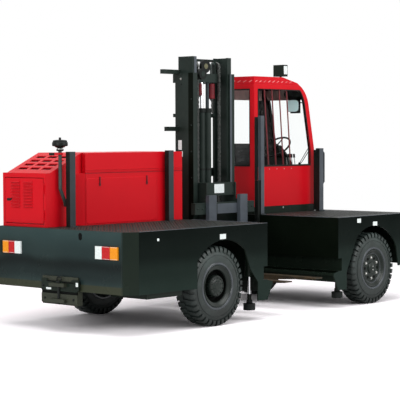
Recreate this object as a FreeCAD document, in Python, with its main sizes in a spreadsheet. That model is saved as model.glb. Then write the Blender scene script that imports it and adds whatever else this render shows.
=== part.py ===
import FreeCAD, Part
import math
import os
import re

import Sketcher
from FreeCAD import Placement, Rotation, Vector

# A side loader forklift: two load decks with a well between them, a mast that slides across the
# well, an engine hood at the rear and a narrow cab at the front, both along the left side.
# Frame: +X forward, +Y to the left (cab and hood side), +Z up, ground at z = 0, in millimetres.

SIZES = {
    # overall form
    "overall_length": 4970,
    "overall_width": 1962,
    "tow_reach": 75,
    "wheelbase": 2800,
    "rear_overhang": 1325,
    "well_behind": 783,
    "well_ahead": 734,
    "deck_height": 1040,
    "skirt_bottom": 420,
    "corner_cut": 120,
    "edge_cut": 20,
    "skirt_plate": 14,
    "deck_plate": 16,
    "bulkhead": 90,
    # wheel arches, measured from the wheel's centre
    "arch_outer_reach": 350,
    "arch_outer_height": 285,
    "arch_well_reach": 400,
    "arch_well_height": 365,
    "arch_radius": 545,
    "arch_knee_reach": 497,
    "arch_knee_height": 147,
    "leg_bottom": 215,
    "leg_foot_width": 160,
    "front_arch_reach": 475,
    "front_arch_low_reach": 422,
    "front_arch_low_height": 246,
    "front_arch_well_reach": 374,
    "front_arch_well_height": 386,
    "front_arch_radius": 540,
    "lamp_offset": 640,
    "lamp_height": 760,
    "lamp_radius": 75,
    # guide grooves of the mast trolley
    "groove_bottom": 434.7,
    "groove_height": 142,
    "groove_depth": 65,
    "shelf_reach": 88,
    "shelf_bottom": 385,
    "shelf_plate": 25,
    # frame under the decks
    "rail_offset": 375,
    "rail_width": 90,
    "rail_bottom": 600,
    "rail_height": 160,
    "side_beam_width": 56,
    "side_beam_bottom": 300,
    # wheels
    "track": 1670,
    "tyre_radius": 418,
    "tyre_width": 240,
    "lug_height": 14,
    "lug_count": 18,
    "lug_width": 40,
    "bead_radius": 200,
    "rim_gap": 4,
    "flange_radius": 222,
    "dish_radius": 165,
    "hub_radius": 78,
    "spindle_radius": 40,
    "running_gap": 0.3,
    "kingpin_offset": 675,
    "kingpin_radius": 20,
    "yoke_half_height": 85,
    "yoke_plate": 25,
    "axle_radius": 75,
    "bowl_radius": 165,
    "bowl_half_width": 150,
    # stanchions
    "post_length": 80,
    "post_depth": 60,
    "post_front": 160,
    "post_top": 1820,
    "cab_post_length": 60,
    "cab_post_depth": 46,
    "cab_post_top": 2215,
    "post_one_behind": 281,
    "post_two_behind": 320,
    "post_gap": 10,
    "post_four_behind": 85,
    "handle_reach": 42,
    # engine hood and radiator housing
    "hood_side": 245,
    "hood_top": 1805,
    "hood_seam": 1600,
    "hood_wall": 25,
    "hood_end_gap": 8,
    "seam_gap": 0.3,
    "body_gap": 6,
    "housing_side": 300,
    "housing_length": 515,
    "housing_ledge": 60,
    "vent_margin": 55,
    "vent_plate": 12,
    "housing_inset": 70,
    "housing_rear_top": 1600,
    "door_margin": 30,
    "hinge_room": 20,
    "hinge_radius": 9,
    "intake_behind": 240,
    "intake_gap": 38,
    "intake_top": 1975,
    "intake_pipe": 22,
    "intake_bowl": 62,
    "intake_cap": 82,
    "engine_length": 950,
    "engine_width": 500,
    "engine_height": 540,
    # cab
    "cab_side": 310,
    "cab_behind": 64,
    "cab_length": 1180,
    "cab_wall": 40,
    "cab_floor": 20,
    "plinth_height": 85,
    "cab_roof_bottom": 2600,
    "cab_roof_top": 2688,
    "sill": 1610,
    "header": 2540,
    "screen_break": 1810,
    "screen_mid_height": 2345,
    "screen_mid_inset": 110,
    "screen_top_inset": 300,
    "brow_radius": 350,
    "header_inset": 214,
    "pane": 6,
    "door_behind": 80,
    "door_ahead": 310,
    "door_gap": 6,
    # mast
    "mast_width": 730,
    "mast_front": 330,
    "mast_depth": 275,
    "channel_web": 20,
    "channel_flange": 22,
    "flange_length": 75,
    "mast_bottom": 270,
    "outer_top": 2700,
    "inner_top": 2890,
    "inner_bottom": 300,
    "inner_web": 18,
    "inner_flange": 20,
    "inner_flange_length": 70,
    "nest_gap": 5.5,
    "pivot_height": 380,
    "pivot_radius": 30,
    "tilt_base_inset": 131,
    "tilt_base_height": 520,
    "tilt_eye_behind": 15,
    "tilt_eye_height": 1000,
    # trolley under the mast
    "roller_radius": 70,
    "trolley_plate": 25,
    "trolley_gap": 17,
    "trolley_back": 66,
    # fork carriage and forks
    "shank_front": 112,
    "fork_thickness": 50,
    "fork_width": 130,
    "fork_spacing": 550,
    "fork_bottom": 335,
    "fork_tip": -978,
    "fork_tip_height": 14,
    "shank_top": 1300,
    "fork_taper": 620,
    "bar_depth": 60,
    "bar_width": 1050,
    "back_plate_width": 505,
    "back_plate_bottom": 1290,
    "back_plate_top": 1440,
    # cylinders
    "lift_radius": 45,
    "lift_rod_radius": 21,
    "lift_offset": 52,
    "chain_offset": 190,
    "sheave_radius": 50,
    "chain_back_end": 2240,
    "chain_front_end": 1180,
    "jack_offset": 150,
    "jack_inset": 131,
    "jack_radius": 52,
    "jack_rod_radius": 18,
    "jack_foot_radius": 65,
    "jack_foot_bottom": 109,
}

doc = FreeCAD.newDocument("side_loader")
sheet = doc.addObject("Spreadsheet::Sheet", "Dims")
for row, (alias, number) in enumerate(SIZES.items(), start=1):
    sheet.set(f"A{row}", alias.replace("_", " "))
    sheet.set(f"B{row}", str(number))
    sheet.setAlias(f"B{row}", alias)
doc.recompute()

NODES = {}
WORD = re.compile(r"[a-z][a-z_]*")

# Places that several sub-parts share, as formulas of the sheet's sizes.
REAR = "(tow_reach - overall_length / 2)"
FRONT = "(overall_length / 2)"
SIDE = "(overall_width / 2)"
REAR_AXLE = f"({REAR} + rear_overhang)"
FRONT_AXLE = f"({REAR_AXLE} + wheelbase)"
WELL_REAR = f"({REAR_AXLE} + well_behind)"
WELL_FRONT = f"({FRONT_AXLE} - well_ahead)"
WELL_MID = f"(({WELL_REAR} + {WELL_FRONT}) / 2)"
AXLE_HEIGHT = "tyre_radius"
MAST_LOW = f"({WELL_MID} - mast_width / 2)"
MAST_HIGH = f"({WELL_MID} + mast_width / 2)"
MAST_BACK = "(mast_front + mast_depth)"
BODY_SIDE = f"({SIDE} - hinge_room)"
HINGE_Y = f"({SIDE} - hinge_room / 2)"
JACK_Y = f"({SIDE} - jack_inset)"
CAB_REAR = f"({WELL_FRONT} + cab_behind)"
CAB_FRONT = f"({CAB_REAR} + cab_length)"
DOOR_REAR = f"({CAB_REAR} + door_behind)"
DOOR_FRONT = f"({CAB_FRONT} - door_ahead)"
PLINTH_TOP = "(deck_height + plinth_height)"


def formula(text):
    """Spell the size names in a formula as cells of the sheet."""
    return WORD.sub(lambda word: "Dims." + word.group() if word.group() in SIZES else word.group(), text)


def value(text):
    """The present number of a formula."""
    result = sheet.evalExpression(formula(str(text)))
    return float(getattr(result, "Value", result))


def bind(thing, prop, text):
    thing.setExpression(prop, formula(str(text)))


def node(name, thing):
    """Name a finished sub-part; its label names its file."""
    thing.Label = name
    NODES[name] = thing
    return thing


def place(thing, spot, turn=Rotation()):
    thing.Placement = Placement(Vector(), turn)
    for axis, text in zip("xyz", spot):
        bind(thing, f"Placement.Base.{axis}", text)
    return thing


def block(name, low, high):
    """A box between two corners."""
    solid = doc.addObject("Part::Box", name)
    for prop, start, end in zip(("Length", "Width", "Height"), low, high):
        bind(solid, prop, f"({end}) - ({start})")
    return place(solid, low)


TURNS = {
    "x": Rotation(Vector(0, 1, 0), 90),
    "y": Rotation(Vector(1, 0, 0), -90),
    "z": Rotation(),
}


def rod(name, axis, start, radius, length):
    """A cylinder that runs along an axis from its start point."""
    solid = doc.addObject("Part::Cylinder", name)
    bind(solid, "Radius", radius)
    bind(solid, "Height", length)
    return place(solid, start, TURNS[axis])


def flat_rod(name, axis, start, radius, length, sides):
    """A regular prism that runs along an axis from its start point."""
    solid = doc.addObject("Part::Prism", name)
    solid.Polygon = sides
    bind(solid, "Circumradius", radius)
    bind(solid, "Height", length)
    return place(solid, start, TURNS[axis])


def fuse(name, *parts):
    joined = doc.addObject("Part::MultiFuse", name)
    joined.Shapes = list(parts)
    joined.Refine = True
    return joined


def cut(name, base, *tools):
    hollow = doc.addObject("Part::Cut", name)
    hollow.Base = base
    hollow.Tool = tools[0] if len(tools) == 1 else fuse(name + "_tools", *tools)
    hollow.Refine = True
    return hollow


def group(name, *parts):
    """Like pieces on one body that don't touch."""
    several = doc.addObject("Part::Compound", name)
    several.Links = list(parts)
    return several


def plane_of(body, role):
    return next(item for item in body.Origin.OriginFeatures if item.Role == role)


def draw(sketch, points):
    """Draw a closed outline. Each point is (u, v) or (u, v, radius): a radius makes the edge to
    the next point an arc, bulging to the right of the way along when it is positive."""
    spots = [Vector(value(point[0]), value(point[1]), 0) for point in points]
    count = len(points)
    ends = []
    for number, point in enumerate(points):
        start, end = spots[number], spots[(number + 1) % count]
        if len(point) == 2:
            sketch.addGeometry(Part.LineSegment(start, end), False)
            ends.append((1, 2))
            continue
        radius = value(point[2])
        way = end - start
        right = Vector(way.y, -way.x, 0).normalize()
        half = way.Length / 2
        sagitta = abs(radius) - math.sqrt(radius * radius - half * half)
        middle = (start + end) / 2 + right * math.copysign(sagitta, radius)
        sketch.addGeometry(Part.Arc(start, middle, end), False)
        ends.append((1, 2) if radius > 0 else (2, 1))
        index = sketch.addConstraint(Sketcher.Constraint("Radius", number, abs(radius)))
        bind(sketch, f"Constraints[{index}]", f"abs({point[2]})")
    for number, point in enumerate(points):
        following = (number + 1) % count
        sketch.addConstraint(
            Sketcher.Constraint("Coincident", number, ends[number][1], following, ends[following][0])
        )
        for kind, text in (("DistanceX", point[0]), ("DistanceY", point[1])):
            index = sketch.addConstraint(
                Sketcher.Constraint(kind, -1, 1, number, ends[number][0], value(text))
            )
            bind(sketch, f"Constraints[{index}]", text)


def new_sketch(body, name, role, offset="0"):
    sketch = body.newObject("Sketcher::SketchObject", name)
    sketch.AttachmentSupport = (plane_of(body, role), [""])
    sketch.MapMode = "FlatFace"
    bind(sketch, "AttachmentOffset.Base.z", offset)
    return sketch


def prism(name, role, points, start, end):
    """An outline padded between two heights along the normal of its plane: YZ_Plane (u = Y,
    v = Z, along +X), XZ_Plane (u = X, v = Z, along +Y) or XY_Plane (along +Z)."""
    body = doc.addObject("PartDesign::Body", name)
    across = role == "XZ_Plane"
    sketch = new_sketch(body, name + "_outline", role, f"-({start})" if across else start)
    draw(sketch, points)
    pad = body.newObject("PartDesign::Pad", name + "_pad")
    pad.Profile = sketch
    bind(pad, "Length", f"({end}) - ({start})")
    pad.Reversed = across
    sketch.Visibility = False
    return body


def copy_at(name, source, spot, turn=Rotation()):
    """Another of a piece that is already built, at its own place."""
    doc.recompute()
    piece = doc.addObject("Part::Feature", name)
    piece.Shape = source.Shape.copy()
    return place(piece, spot, turn)


# ---------------------------------------------------------------- decks and frame


def deck_shell(name, plan, inner, arch, leg, grooves):
    """One load deck: a plate with skirts all round, open below, with its wheel arches."""
    outer = prism(name + "_outer", "XY_Plane", plan, "skirt_bottom", "deck_height")
    hollow = prism(name + "_hollow", "XY_Plane", inner, "skirt_bottom - 1", "deck_height - deck_plate")
    opening = prism(name + "_arch", "XZ_Plane", arch, f"-{SIDE} - 1", f"{SIDE} + 1")
    shell = cut(name + "_shell", outer, hollow, opening)
    return cut(name + "_body", fuse(name + "_with_leg", shell, *leg), *grooves)


def rear_arch():
    """The rear wheel arch's outline: straight behind the wheel, rounded over it."""
    def along(text):
        return f"{REAR_AXLE} + {text}"
    return [
        (along("-arch_outer_reach"), "skirt_bottom - 1"),
        (along("-arch_outer_reach"), f"{AXLE_HEIGHT} + arch_outer_height", "-arch_radius"),
        (along("arch_well_reach"), f"{AXLE_HEIGHT} + arch_well_height"),
        (along("arch_knee_reach"), f"{AXLE_HEIGHT} + arch_knee_height"),
        (along("well_behind - leg_foot_width"), "skirt_bottom - 1"),
    ]


def front_arch():
    """The front wheel arch's outline, wide enough for the wheel at full steer."""
    def along(text):
        return f"{FRONT_AXLE} + {text}"
    return [
        (along("front_arch_reach"), "skirt_bottom - 1"),
        (along("front_arch_low_reach"), f"{AXLE_HEIGHT} + front_arch_low_height", "front_arch_radius"),
        (along("-front_arch_well_reach"), f"{AXLE_HEIGHT} + front_arch_well_height"),
        (along("-arch_knee_reach"), f"{AXLE_HEIGHT} + arch_knee_height"),
        (f"{WELL_FRONT} + leg_foot_width", "skirt_bottom - 1"),
    ]


def leg_plate(name, wall, way, low, high):
    """The plate that carries on below the skirt beside the well and shields the jack."""
    def along(text):
        return f"{wall} + ({way}) * ({text})"
    return prism(
        name,
        "XZ_Plane",
        [
            (along("-leg_foot_width"), "leg_bottom"),
            (along("0"), "leg_bottom"),
            (along("shelf_reach"), "shelf_bottom"),
            (along("shelf_reach"), "shelf_bottom + shelf_plate"),
            (along("0"), "skirt_bottom + 10"),
            (along("-leg_foot_width"), "skirt_bottom + 10"),
        ],
        low,
        high,
    )


def groove(name, wall, way):
    """The guide groove in a well wall, open into the well and at the load side."""
    back, mouth = ("- groove_depth", "+ 1") if way > 0 else ("- 1", "+ groove_depth")
    return block(
        name,
        (f"{wall} {back}", f"-{SIDE} - 1", "groove_bottom"),
        (f"{wall} {mouth}", f"{SIDE} - side_beam_width", "groove_bottom + groove_height"),
    )


def deck_legs(name, wall, way):
    outer = leg_plate(name + "_leg_out", wall, way, f"-{SIDE}", f"-{SIDE} + skirt_plate")
    ends = ("0", "shelf_reach") if way > 0 else ("-shelf_reach", "0")
    shelf = block(
        name + "_shelf",
        (f"{wall} + {ends[0]}", f"-{SIDE}", "shelf_bottom"),
        (f"{wall} + {ends[1]}", f"{SIDE} - side_beam_width", "shelf_bottom + shelf_plate"),
    )
    foot = ("- bulkhead", "") if way > 0 else ("", "+ bulkhead")
    sole = block(
        name + "_sole",
        (f"{wall} {foot[0]}", f"-{SIDE}", "shelf_bottom"),
        (f"{wall} {foot[1]}", f"{SIDE} - side_beam_width", "skirt_bottom + 10"),
    )
    return [outer, shelf, sole]


def build_decks():
    rear = deck_shell(
        "rear_deck",
        [
            (REAR, f"{SIDE} - edge_cut"),
            (REAR, f"-{SIDE} + corner_cut"),
            (f"{REAR} + corner_cut", f"-{SIDE}"),
            (WELL_REAR, f"-{SIDE}"),
            (WELL_REAR, SIDE),
            (f"{REAR} + edge_cut", SIDE),
        ],
        [
            (f"{REAR} + skirt_plate", f"{SIDE} - edge_cut - skirt_plate"),
            (f"{REAR} + skirt_plate", f"-{SIDE} + corner_cut"),
            (f"{REAR} + corner_cut", f"-{SIDE} + skirt_plate"),
            (f"{WELL_REAR} - bulkhead", f"-{SIDE} + skirt_plate"),
            (f"{WELL_REAR} - bulkhead", f"{SIDE} - skirt_plate"),
            (f"{REAR} + edge_cut + skirt_plate", f"{SIDE} - skirt_plate"),
        ],
        rear_arch(),
        deck_legs("rear", WELL_REAR, 1),
        [groove("rear_groove", WELL_REAR, 1)],
    )
    node("rear_deck", rear)
    front = deck_shell(
        "front_deck",
        [
            (WELL_FRONT, SIDE),
            (WELL_FRONT, f"-{SIDE}"),
            (f"{FRONT} - corner_cut", f"-{SIDE}"),
            (FRONT, f"-{SIDE} + corner_cut"),
            (FRONT, f"{SIDE} - corner_cut"),
            (f"{FRONT} - corner_cut", SIDE),
        ],
        [
            (f"{WELL_FRONT} + bulkhead", f"{SIDE} - skirt_plate"),
            (f"{WELL_FRONT} + bulkhead", f"-{SIDE} + skirt_plate"),
            (f"{FRONT} - corner_cut", f"-{SIDE} + skirt_plate"),
            (f"{FRONT} - skirt_plate", f"-{SIDE} + corner_cut"),
            (f"{FRONT} - skirt_plate", f"{SIDE} - corner_cut"),
            (f"{FRONT} - corner_cut", f"{SIDE} - skirt_plate"),
        ],
        front_arch(),
        deck_legs("front", WELL_FRONT, -1),
        [groove("front_groove", WELL_FRONT, -1)] + [
            flat_rod(
                f"head_lamp_hole_{'left' if side > 0 else 'right'}", "x",
                (f"{FRONT} - 2 * skirt_plate", f"{side} * lamp_offset", "lamp_height"),
                "lamp_radius + running_gap", "3 * skirt_plate", 18,
            )
            for side in (-1, 1)
        ],
    )
    node("front_deck", front)


def build_frame():
    beam = block(
        "side_beam",
        (WELL_REAR, f"{SIDE} - side_beam_width", "side_beam_bottom"),
        (WELL_FRONT, SIDE, "deck_height"),
    )
    rails = []
    for label, low, high in (
        ("rear", f"{REAR} + skirt_plate", f"{WELL_REAR} - bulkhead"),
        ("front", f"{WELL_FRONT} + bulkhead", f"{FRONT} - skirt_plate"),
    ):
        for side in (-1, 1):
            rails.append(block(
                f"{label}_rail_{'left' if side > 0 else 'right'}",
                (low, f"{side} * rail_offset - rail_width / 2", "rail_bottom"),
                (high, f"{side} * rail_offset + rail_width / 2", "rail_bottom + rail_height"),
            ))
    node("chassis_frame", group("frame_pieces", beam, *rails))


def build_axles():
    half = "(kingpin_offset - 55)"
    tube = many_sided("rear_axle_turned", [
        ("0.001", f"-{half}"),
        ("axle_radius", f"-{half}"),
        ("axle_radius", "-bowl_half_width"),
        ("bowl_radius", "-bowl_half_width / 2"),
        ("bowl_radius", "bowl_half_width / 2"),
        ("axle_radius", "bowl_half_width"),
        ("axle_radius", half),
        ("0.001", half),
    ], 16)
    housing = place(tube, (REAR_AXLE, "0", AXLE_HEIGHT))
    spindles = [
        rod("rear_spindle_right", "y", (REAR_AXLE, "-track / 2 + 10", AXLE_HEIGHT), "spindle_radius",
            f"track / 2 - 9 - {half}"),
        rod("rear_spindle_left", "y", (REAR_AXLE, f"{half} - 1", AXLE_HEIGHT), "spindle_radius",
            f"track / 2 - 9 - {half}"),
    ]
    pads = [
        block(
            f"axle_pad_{'left' if side > 0 else 'right'}",
            (f"{REAR_AXLE} - 70", f"{side} * rail_offset - 40", AXLE_HEIGHT),
            (f"{REAR_AXLE} + 70", f"{side} * rail_offset + 40", "rail_bottom"),
        )
        for side in (-1, 1)
    ]
    node("rear_axle", fuse("rear_axle_body", housing, *spindles, *pads))

    beam = block(
        "steer_beam",
        (f"{FRONT_AXLE} - 35", "-kingpin_offset + 50", f"{AXLE_HEIGHT} - yoke_half_height"),
        (f"{FRONT_AXLE} + 35", "kingpin_offset - 50", f"{AXLE_HEIGHT} + yoke_half_height"),
    )
    pieces = [beam]
    for side in (-1, 1):
        label = "left" if side > 0 else "right"
        for tier, low in (("low", "- yoke_half_height"), ("high", "+ yoke_half_height - yoke_plate")):
            pieces.append(block(
                f"yoke_{tier}_{label}",
                (f"{FRONT_AXLE} - 45", f"{side} * kingpin_offset - 52", f"{AXLE_HEIGHT} {low}"),
                (f"{FRONT_AXLE} + 45", f"{side} * kingpin_offset + 52", f"{AXLE_HEIGHT} {low} + yoke_plate"),
            ))
        pieces.append(block(
            f"steer_pad_{label}",
            (f"{FRONT_AXLE} - 60", f"{side} * rail_offset - 40", AXLE_HEIGHT),
            (f"{FRONT_AXLE} + 60", f"{side} * rail_offset + 40", "rail_bottom"),
        ))
    body = fuse("steer_axle_body", *pieces)
    bores = [
        rod(
            f"kingpin_bore_{'left' if side > 0 else 'right'}", "z",
            (FRONT_AXLE, f"{side} * kingpin_offset", f"{AXLE_HEIGHT} - yoke_half_height - 1"),
            "kingpin_radius + running_gap", "2 * yoke_half_height + 2",
        )
        for side in (-1, 1)
    ]
    node("front_axle", cut("steer_axle_bored", body, *bores))

    for side in (-1, 1):
        label = "left" if side > 0 else "right"
        pin = flat_rod(
            f"kingpin_{label}", "z",
            (FRONT_AXLE, f"{side} * kingpin_offset", f"{AXLE_HEIGHT} - yoke_half_height - 8"),
            "kingpin_radius", "2 * yoke_half_height + 16", 12,
        )
        boss = block(
            f"knuckle_boss_{label}",
            (f"{FRONT_AXLE} - 31", f"{side} * kingpin_offset - 31", f"{AXLE_HEIGHT} - yoke_half_height + yoke_plate + 3"),
            (f"{FRONT_AXLE} + 31", f"{side} * kingpin_offset + 31", f"{AXLE_HEIGHT} + yoke_half_height - yoke_plate - 3"),
        )
        spindle = rod(
            f"spindle_{label}", "y",
            (FRONT_AXLE, "kingpin_offset + 30" if side > 0 else "-(kingpin_offset + 150)", AXLE_HEIGHT),
            "spindle_radius", "120",
        )
        arm = block(
            f"steer_arm_{label}",
            (f"{FRONT_AXLE} - 200", f"{side} * kingpin_offset - 14", f"{AXLE_HEIGHT} - 15"),
            (FRONT_AXLE, f"{side} * kingpin_offset + 14", f"{AXLE_HEIGHT} + 15"),
        )
        node(f"knuckle_{label}", fuse(f"knuckle_{label}_body", pin, boss, spindle, arm))


# ---------------------------------------------------------------- wheels


def many_sided(name, profile, sides):
    """A closed outline of (radius, place along the axis) carried round the Y axis in flat sides,
    each radius measured to the flats."""
    spots = [(value(radius) / math.cos(math.pi / sides), value(along)) for radius, along in profile]
    rings = []
    for radius, along in spots:
        angles = [2 * math.pi * (number + 0.5) / sides for number in range(sides)]
        rings.append([Vector(radius * math.sin(angle), along, radius * math.cos(angle)) for angle in angles])
    faces = []
    for one, two in zip(rings, rings[1:] + rings[:1]):
        for number in range(sides):
            after = (number + 1) % sides
            corners = [one[number], one[after], two[after], two[number]]
            kept = [spot for place_, spot in enumerate(corners) if (spot - corners[place_ - 1]).Length > 1e-6]
            if len(kept) > 2:
                faces.append(Part.Face(Part.makePolygon(kept + kept[:1])))
    form = doc.addObject("Part::Feature", name)
    form.Shape = Part.makeSolid(Part.makeShell(faces))
    return form


def tread_lug(side):
    """One bar of the tread, from the tyre's middle out over its shoulder."""
    half, edge = value("lug_width") / 2, value("tyre_width") / 2 - 3
    rise, sunk = value("tyre_radius"), value("tyre_radius - lug_height - 16")
    inner, taper, skew = 8, 6, value("lug_width") * 0.8
    rings = []
    for height, narrow, end in ((sunk, 0, edge), (rise, taper, edge - 9)):
        lean = skew * (end - inner) / (edge - inner)
        reach = half - narrow
        rings.append([
            Vector(skew / 2 - lean - reach, side * end, height), Vector(skew / 2 - lean + reach, side * end, height),
            Vector(skew / 2 + reach, side * inner, height), Vector(skew / 2 - reach, side * inner, height),
        ])
    low, high = rings
    faces = [Part.Face(Part.makePolygon(ring + ring[:1])) for ring in rings]
    for number in range(4):
        after = (number + 1) % 4
        faces.append(Part.Face(Part.makePolygon([
            low[number], low[after], high[after], high[number], low[number],
        ])))
    return Part.makeSolid(Part.makeShell(faces))


def tyre_form():
    """A lug tyre centred on its own axle, which is the Y axis."""
    base = "tyre_radius - lug_height"
    carcass = many_sided("tyre_carcass", [
        ("bead_radius", "-tyre_width / 2 + 22"),
        ("flange_radius + 60", "-tyre_width / 2"),
        (base, "-tyre_width / 2 + 30"),
        (base, "tyre_width / 2 - 30"),
        ("flange_radius + 60", "tyre_width / 2"),
        ("bead_radius", "tyre_width / 2 - 22"),
    ], int(value("2 * lug_count")))
    lugs = []
    for side in (-1, 1):
        lug = tread_lug(side)
        for turn in range(int(value("lug_count"))):
            angle = (turn + (0.5 if side > 0 else 0)) * 360 / value("lug_count")
            lugs.append(lug.rotated(Vector(), Vector(0, 1, 0), angle))
    tyre = doc.addObject("Part::Feature", "tyre_form")
    tyre.Shape = carcass.Shape.fuse(lugs).removeSplitter()
    return tyre


def build_wheels():
    tyre = tyre_form()
    bore = "spindle_radius + running_gap"
    seat = "bead_radius - rim_gap"
    rims = {
        "rear": [
            ("0.001", "0"),
            (bore, "0"),
            (bore, "-60"),
            ("dish_radius + 10", "-40"),
            ("dish_radius + 10", "-tyre_width / 2 + 22"),
            (seat, "-tyre_width / 2 + 22"),
            (seat, "tyre_width / 2 - 15"),
            ("flange_radius", "tyre_width / 2 - 15"),
            ("flange_radius - 4", "tyre_width / 2 - 6"),
            ("dish_radius + 6", "tyre_width / 2 - 8"),
            ("dish_radius - 10", "12"),
            ("hub_radius", "8"),
            ("hub_radius - 8", "66"),
            ("0.001", "72"),
        ],
        "front": [
            ("0.001", "0"),
            (bore, "0"),
            (bore, "-45"),
            ("spindle_radius + 28", "-45"),
            ("dish_radius + 14", "10"),
            ("dish_radius + 14", "-tyre_width / 2 + 22"),
            (seat, "-tyre_width / 2 + 22"),
            (seat, "tyre_width / 2 - 15"),
            ("flange_radius", "tyre_width / 2 - 15"),
            ("flange_radius - 4", "tyre_width / 2 - 6"),
            ("dish_radius + 12", "tyre_width / 2 - 8"),
            ("dish_radius", "46"),
            ("hub_radius", "52"),
            ("hub_radius - 14", "80"),
            ("0.001", "84"),
        ],
    }
    for label, axle in (("rear", REAR_AXLE), ("front", FRONT_AXLE)):
        rim = many_sided(f"{label}_rim_form", rims[label], 16)
        for side in (-1, 1):
            name = f"{label}_{'left' if side > 0 else 'right'}"
            spot = (axle, f"{side} * track / 2", AXLE_HEIGHT)
            turn = Rotation() if side > 0 else Rotation(Vector(0, 0, 1), 180)
            node(f"tyre_{name}", copy_at(f"tyre_{name}_piece", tyre, spot, turn))
            node(f"rim_{name}", copy_at(f"rim_{name}_piece", rim, spot, turn))


# ---------------------------------------------------------------- hood, posts, tanks


HOOD_REAR = f"({REAR} + housing_inset + housing_length)"
HOOD_FRONT = f"({WELL_REAR} - hood_end_gap)"


def shell(name, low, high, wall, top, bottom):
    """A box with walls on its four sides, and a top or a bottom as asked."""
    outer = block(name + "_outer", low, high)
    inner = block(
        name + "_inner",
        (f"{low[0]} + {wall}", f"{low[1]} + {wall}", f"{low[2]} + {wall}" if bottom else f"{low[2]} - 1"),
        (f"{high[0]} - {wall}", f"{high[1]} - {wall}", f"{high[2]} - {wall}" if top else f"{high[2]} + 1"),
    )
    return cut(name, outer, inner)


def hinge(name, axis, spot, turning, ends, leaf):
    """A hinge on one line: a turning barrel between two fixed knuckles. spot is the line's other
    two places, turning the span of the barrel, ends how far the knuckles reach past it, and leaf
    gives the low and high corners, across the line, of the turning and the fixed leaves."""
    order = "xyz".index(axis)

    def at(along, low):
        corner = list(low)
        corner.insert(order, along)
        return tuple(corner)

    start, end = turning
    barrel = rod(name + "_barrel", axis, at(start, spot), "hinge_radius", f"({end}) - ({start})")
    plate = block(name + "_leaf", at(start, leaf[0][0]), at(end, leaf[0][1]))
    fixed = []
    for label, low, high in (
        ("low", f"{start} - {ends}", f"{start} - seam_gap"), ("high", f"{end} + seam_gap", f"{end} + {ends}"),
    ):
        knuckle = flat_rod(f"{name}_{label}", axis, at(low, spot), "hinge_radius", f"({high}) - ({low})", 8)
        foot = block(f"{name}_{label}_foot", at(low, leaf[1][0]), at(high, leaf[1][1]))
        fixed += [knuckle, foot]
    return [barrel, plate], fixed


def build_hood():
    lid_parts, wall_parts = [], []
    for label, along in (("rear", f"{HOOD_REAR} + 220"), ("front", f"{HOOD_FRONT} - 300")):
        moving, fixed = hinge(
            f"lid_hinge_{label}", "x", (HINGE_Y, "hood_seam"), (along, f"{along} + 80"), "40",
            (
                ((f"{BODY_SIDE} - 2", "hood_seam + seam_gap"), (HINGE_Y, "hood_seam + hinge_radius")),
                ((f"{BODY_SIDE} - 2", "hood_seam - hinge_radius"), (HINGE_Y, "hood_seam")),
            ),
        )
        lid_parts += moving
        wall_parts += fixed
    walls = shell(
        "hood_walls", (HOOD_REAR, "hood_side", "deck_height"), (HOOD_FRONT, BODY_SIDE, "hood_seam"),
        "hood_wall", False, False,
    )
    node("hood_side_panels", fuse("hood_walls_hinged", walls, *wall_parts))
    cap = shell(
        "hood_cap", (HOOD_REAR, "hood_side", "hood_seam + seam_gap"), (HOOD_FRONT, BODY_SIDE, "hood_top"),
        "hood_wall", True, False,
    )
    node("hood_lid", fuse("hood_cap_hinged", cap, *lid_parts))
    build_housing()
    node("engine_block", block(
        "engine_mass",
        (f"{HOOD_REAR} + 190", f"(hood_side + {BODY_SIDE}) / 2 - engine_width / 2", "deck_height"),
        (f"{HOOD_REAR} + 190 + engine_length", f"(hood_side + {BODY_SIDE}) / 2 + engine_width / 2",
         "deck_height + engine_height"),
    ))
    build_intake()


HOUSE_REAR = f"({REAR} + housing_inset)"
HOUSE_FRONT = f"({HOOD_REAR} - body_gap)"
LEDGE = f"({HOUSE_REAR} + housing_ledge)"
VENT_LOW = f"({LEDGE} + vent_margin)"
VENT_HIGH = f"({HOUSE_FRONT} - vent_margin)"


def slope_height(along):
    """The height of the housing's sloping top at a place along it."""
    return f"(housing_rear_top + ({along} - {LEDGE}) * (hood_top - housing_rear_top) / ({HOUSE_FRONT} - {LEDGE}))"


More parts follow.
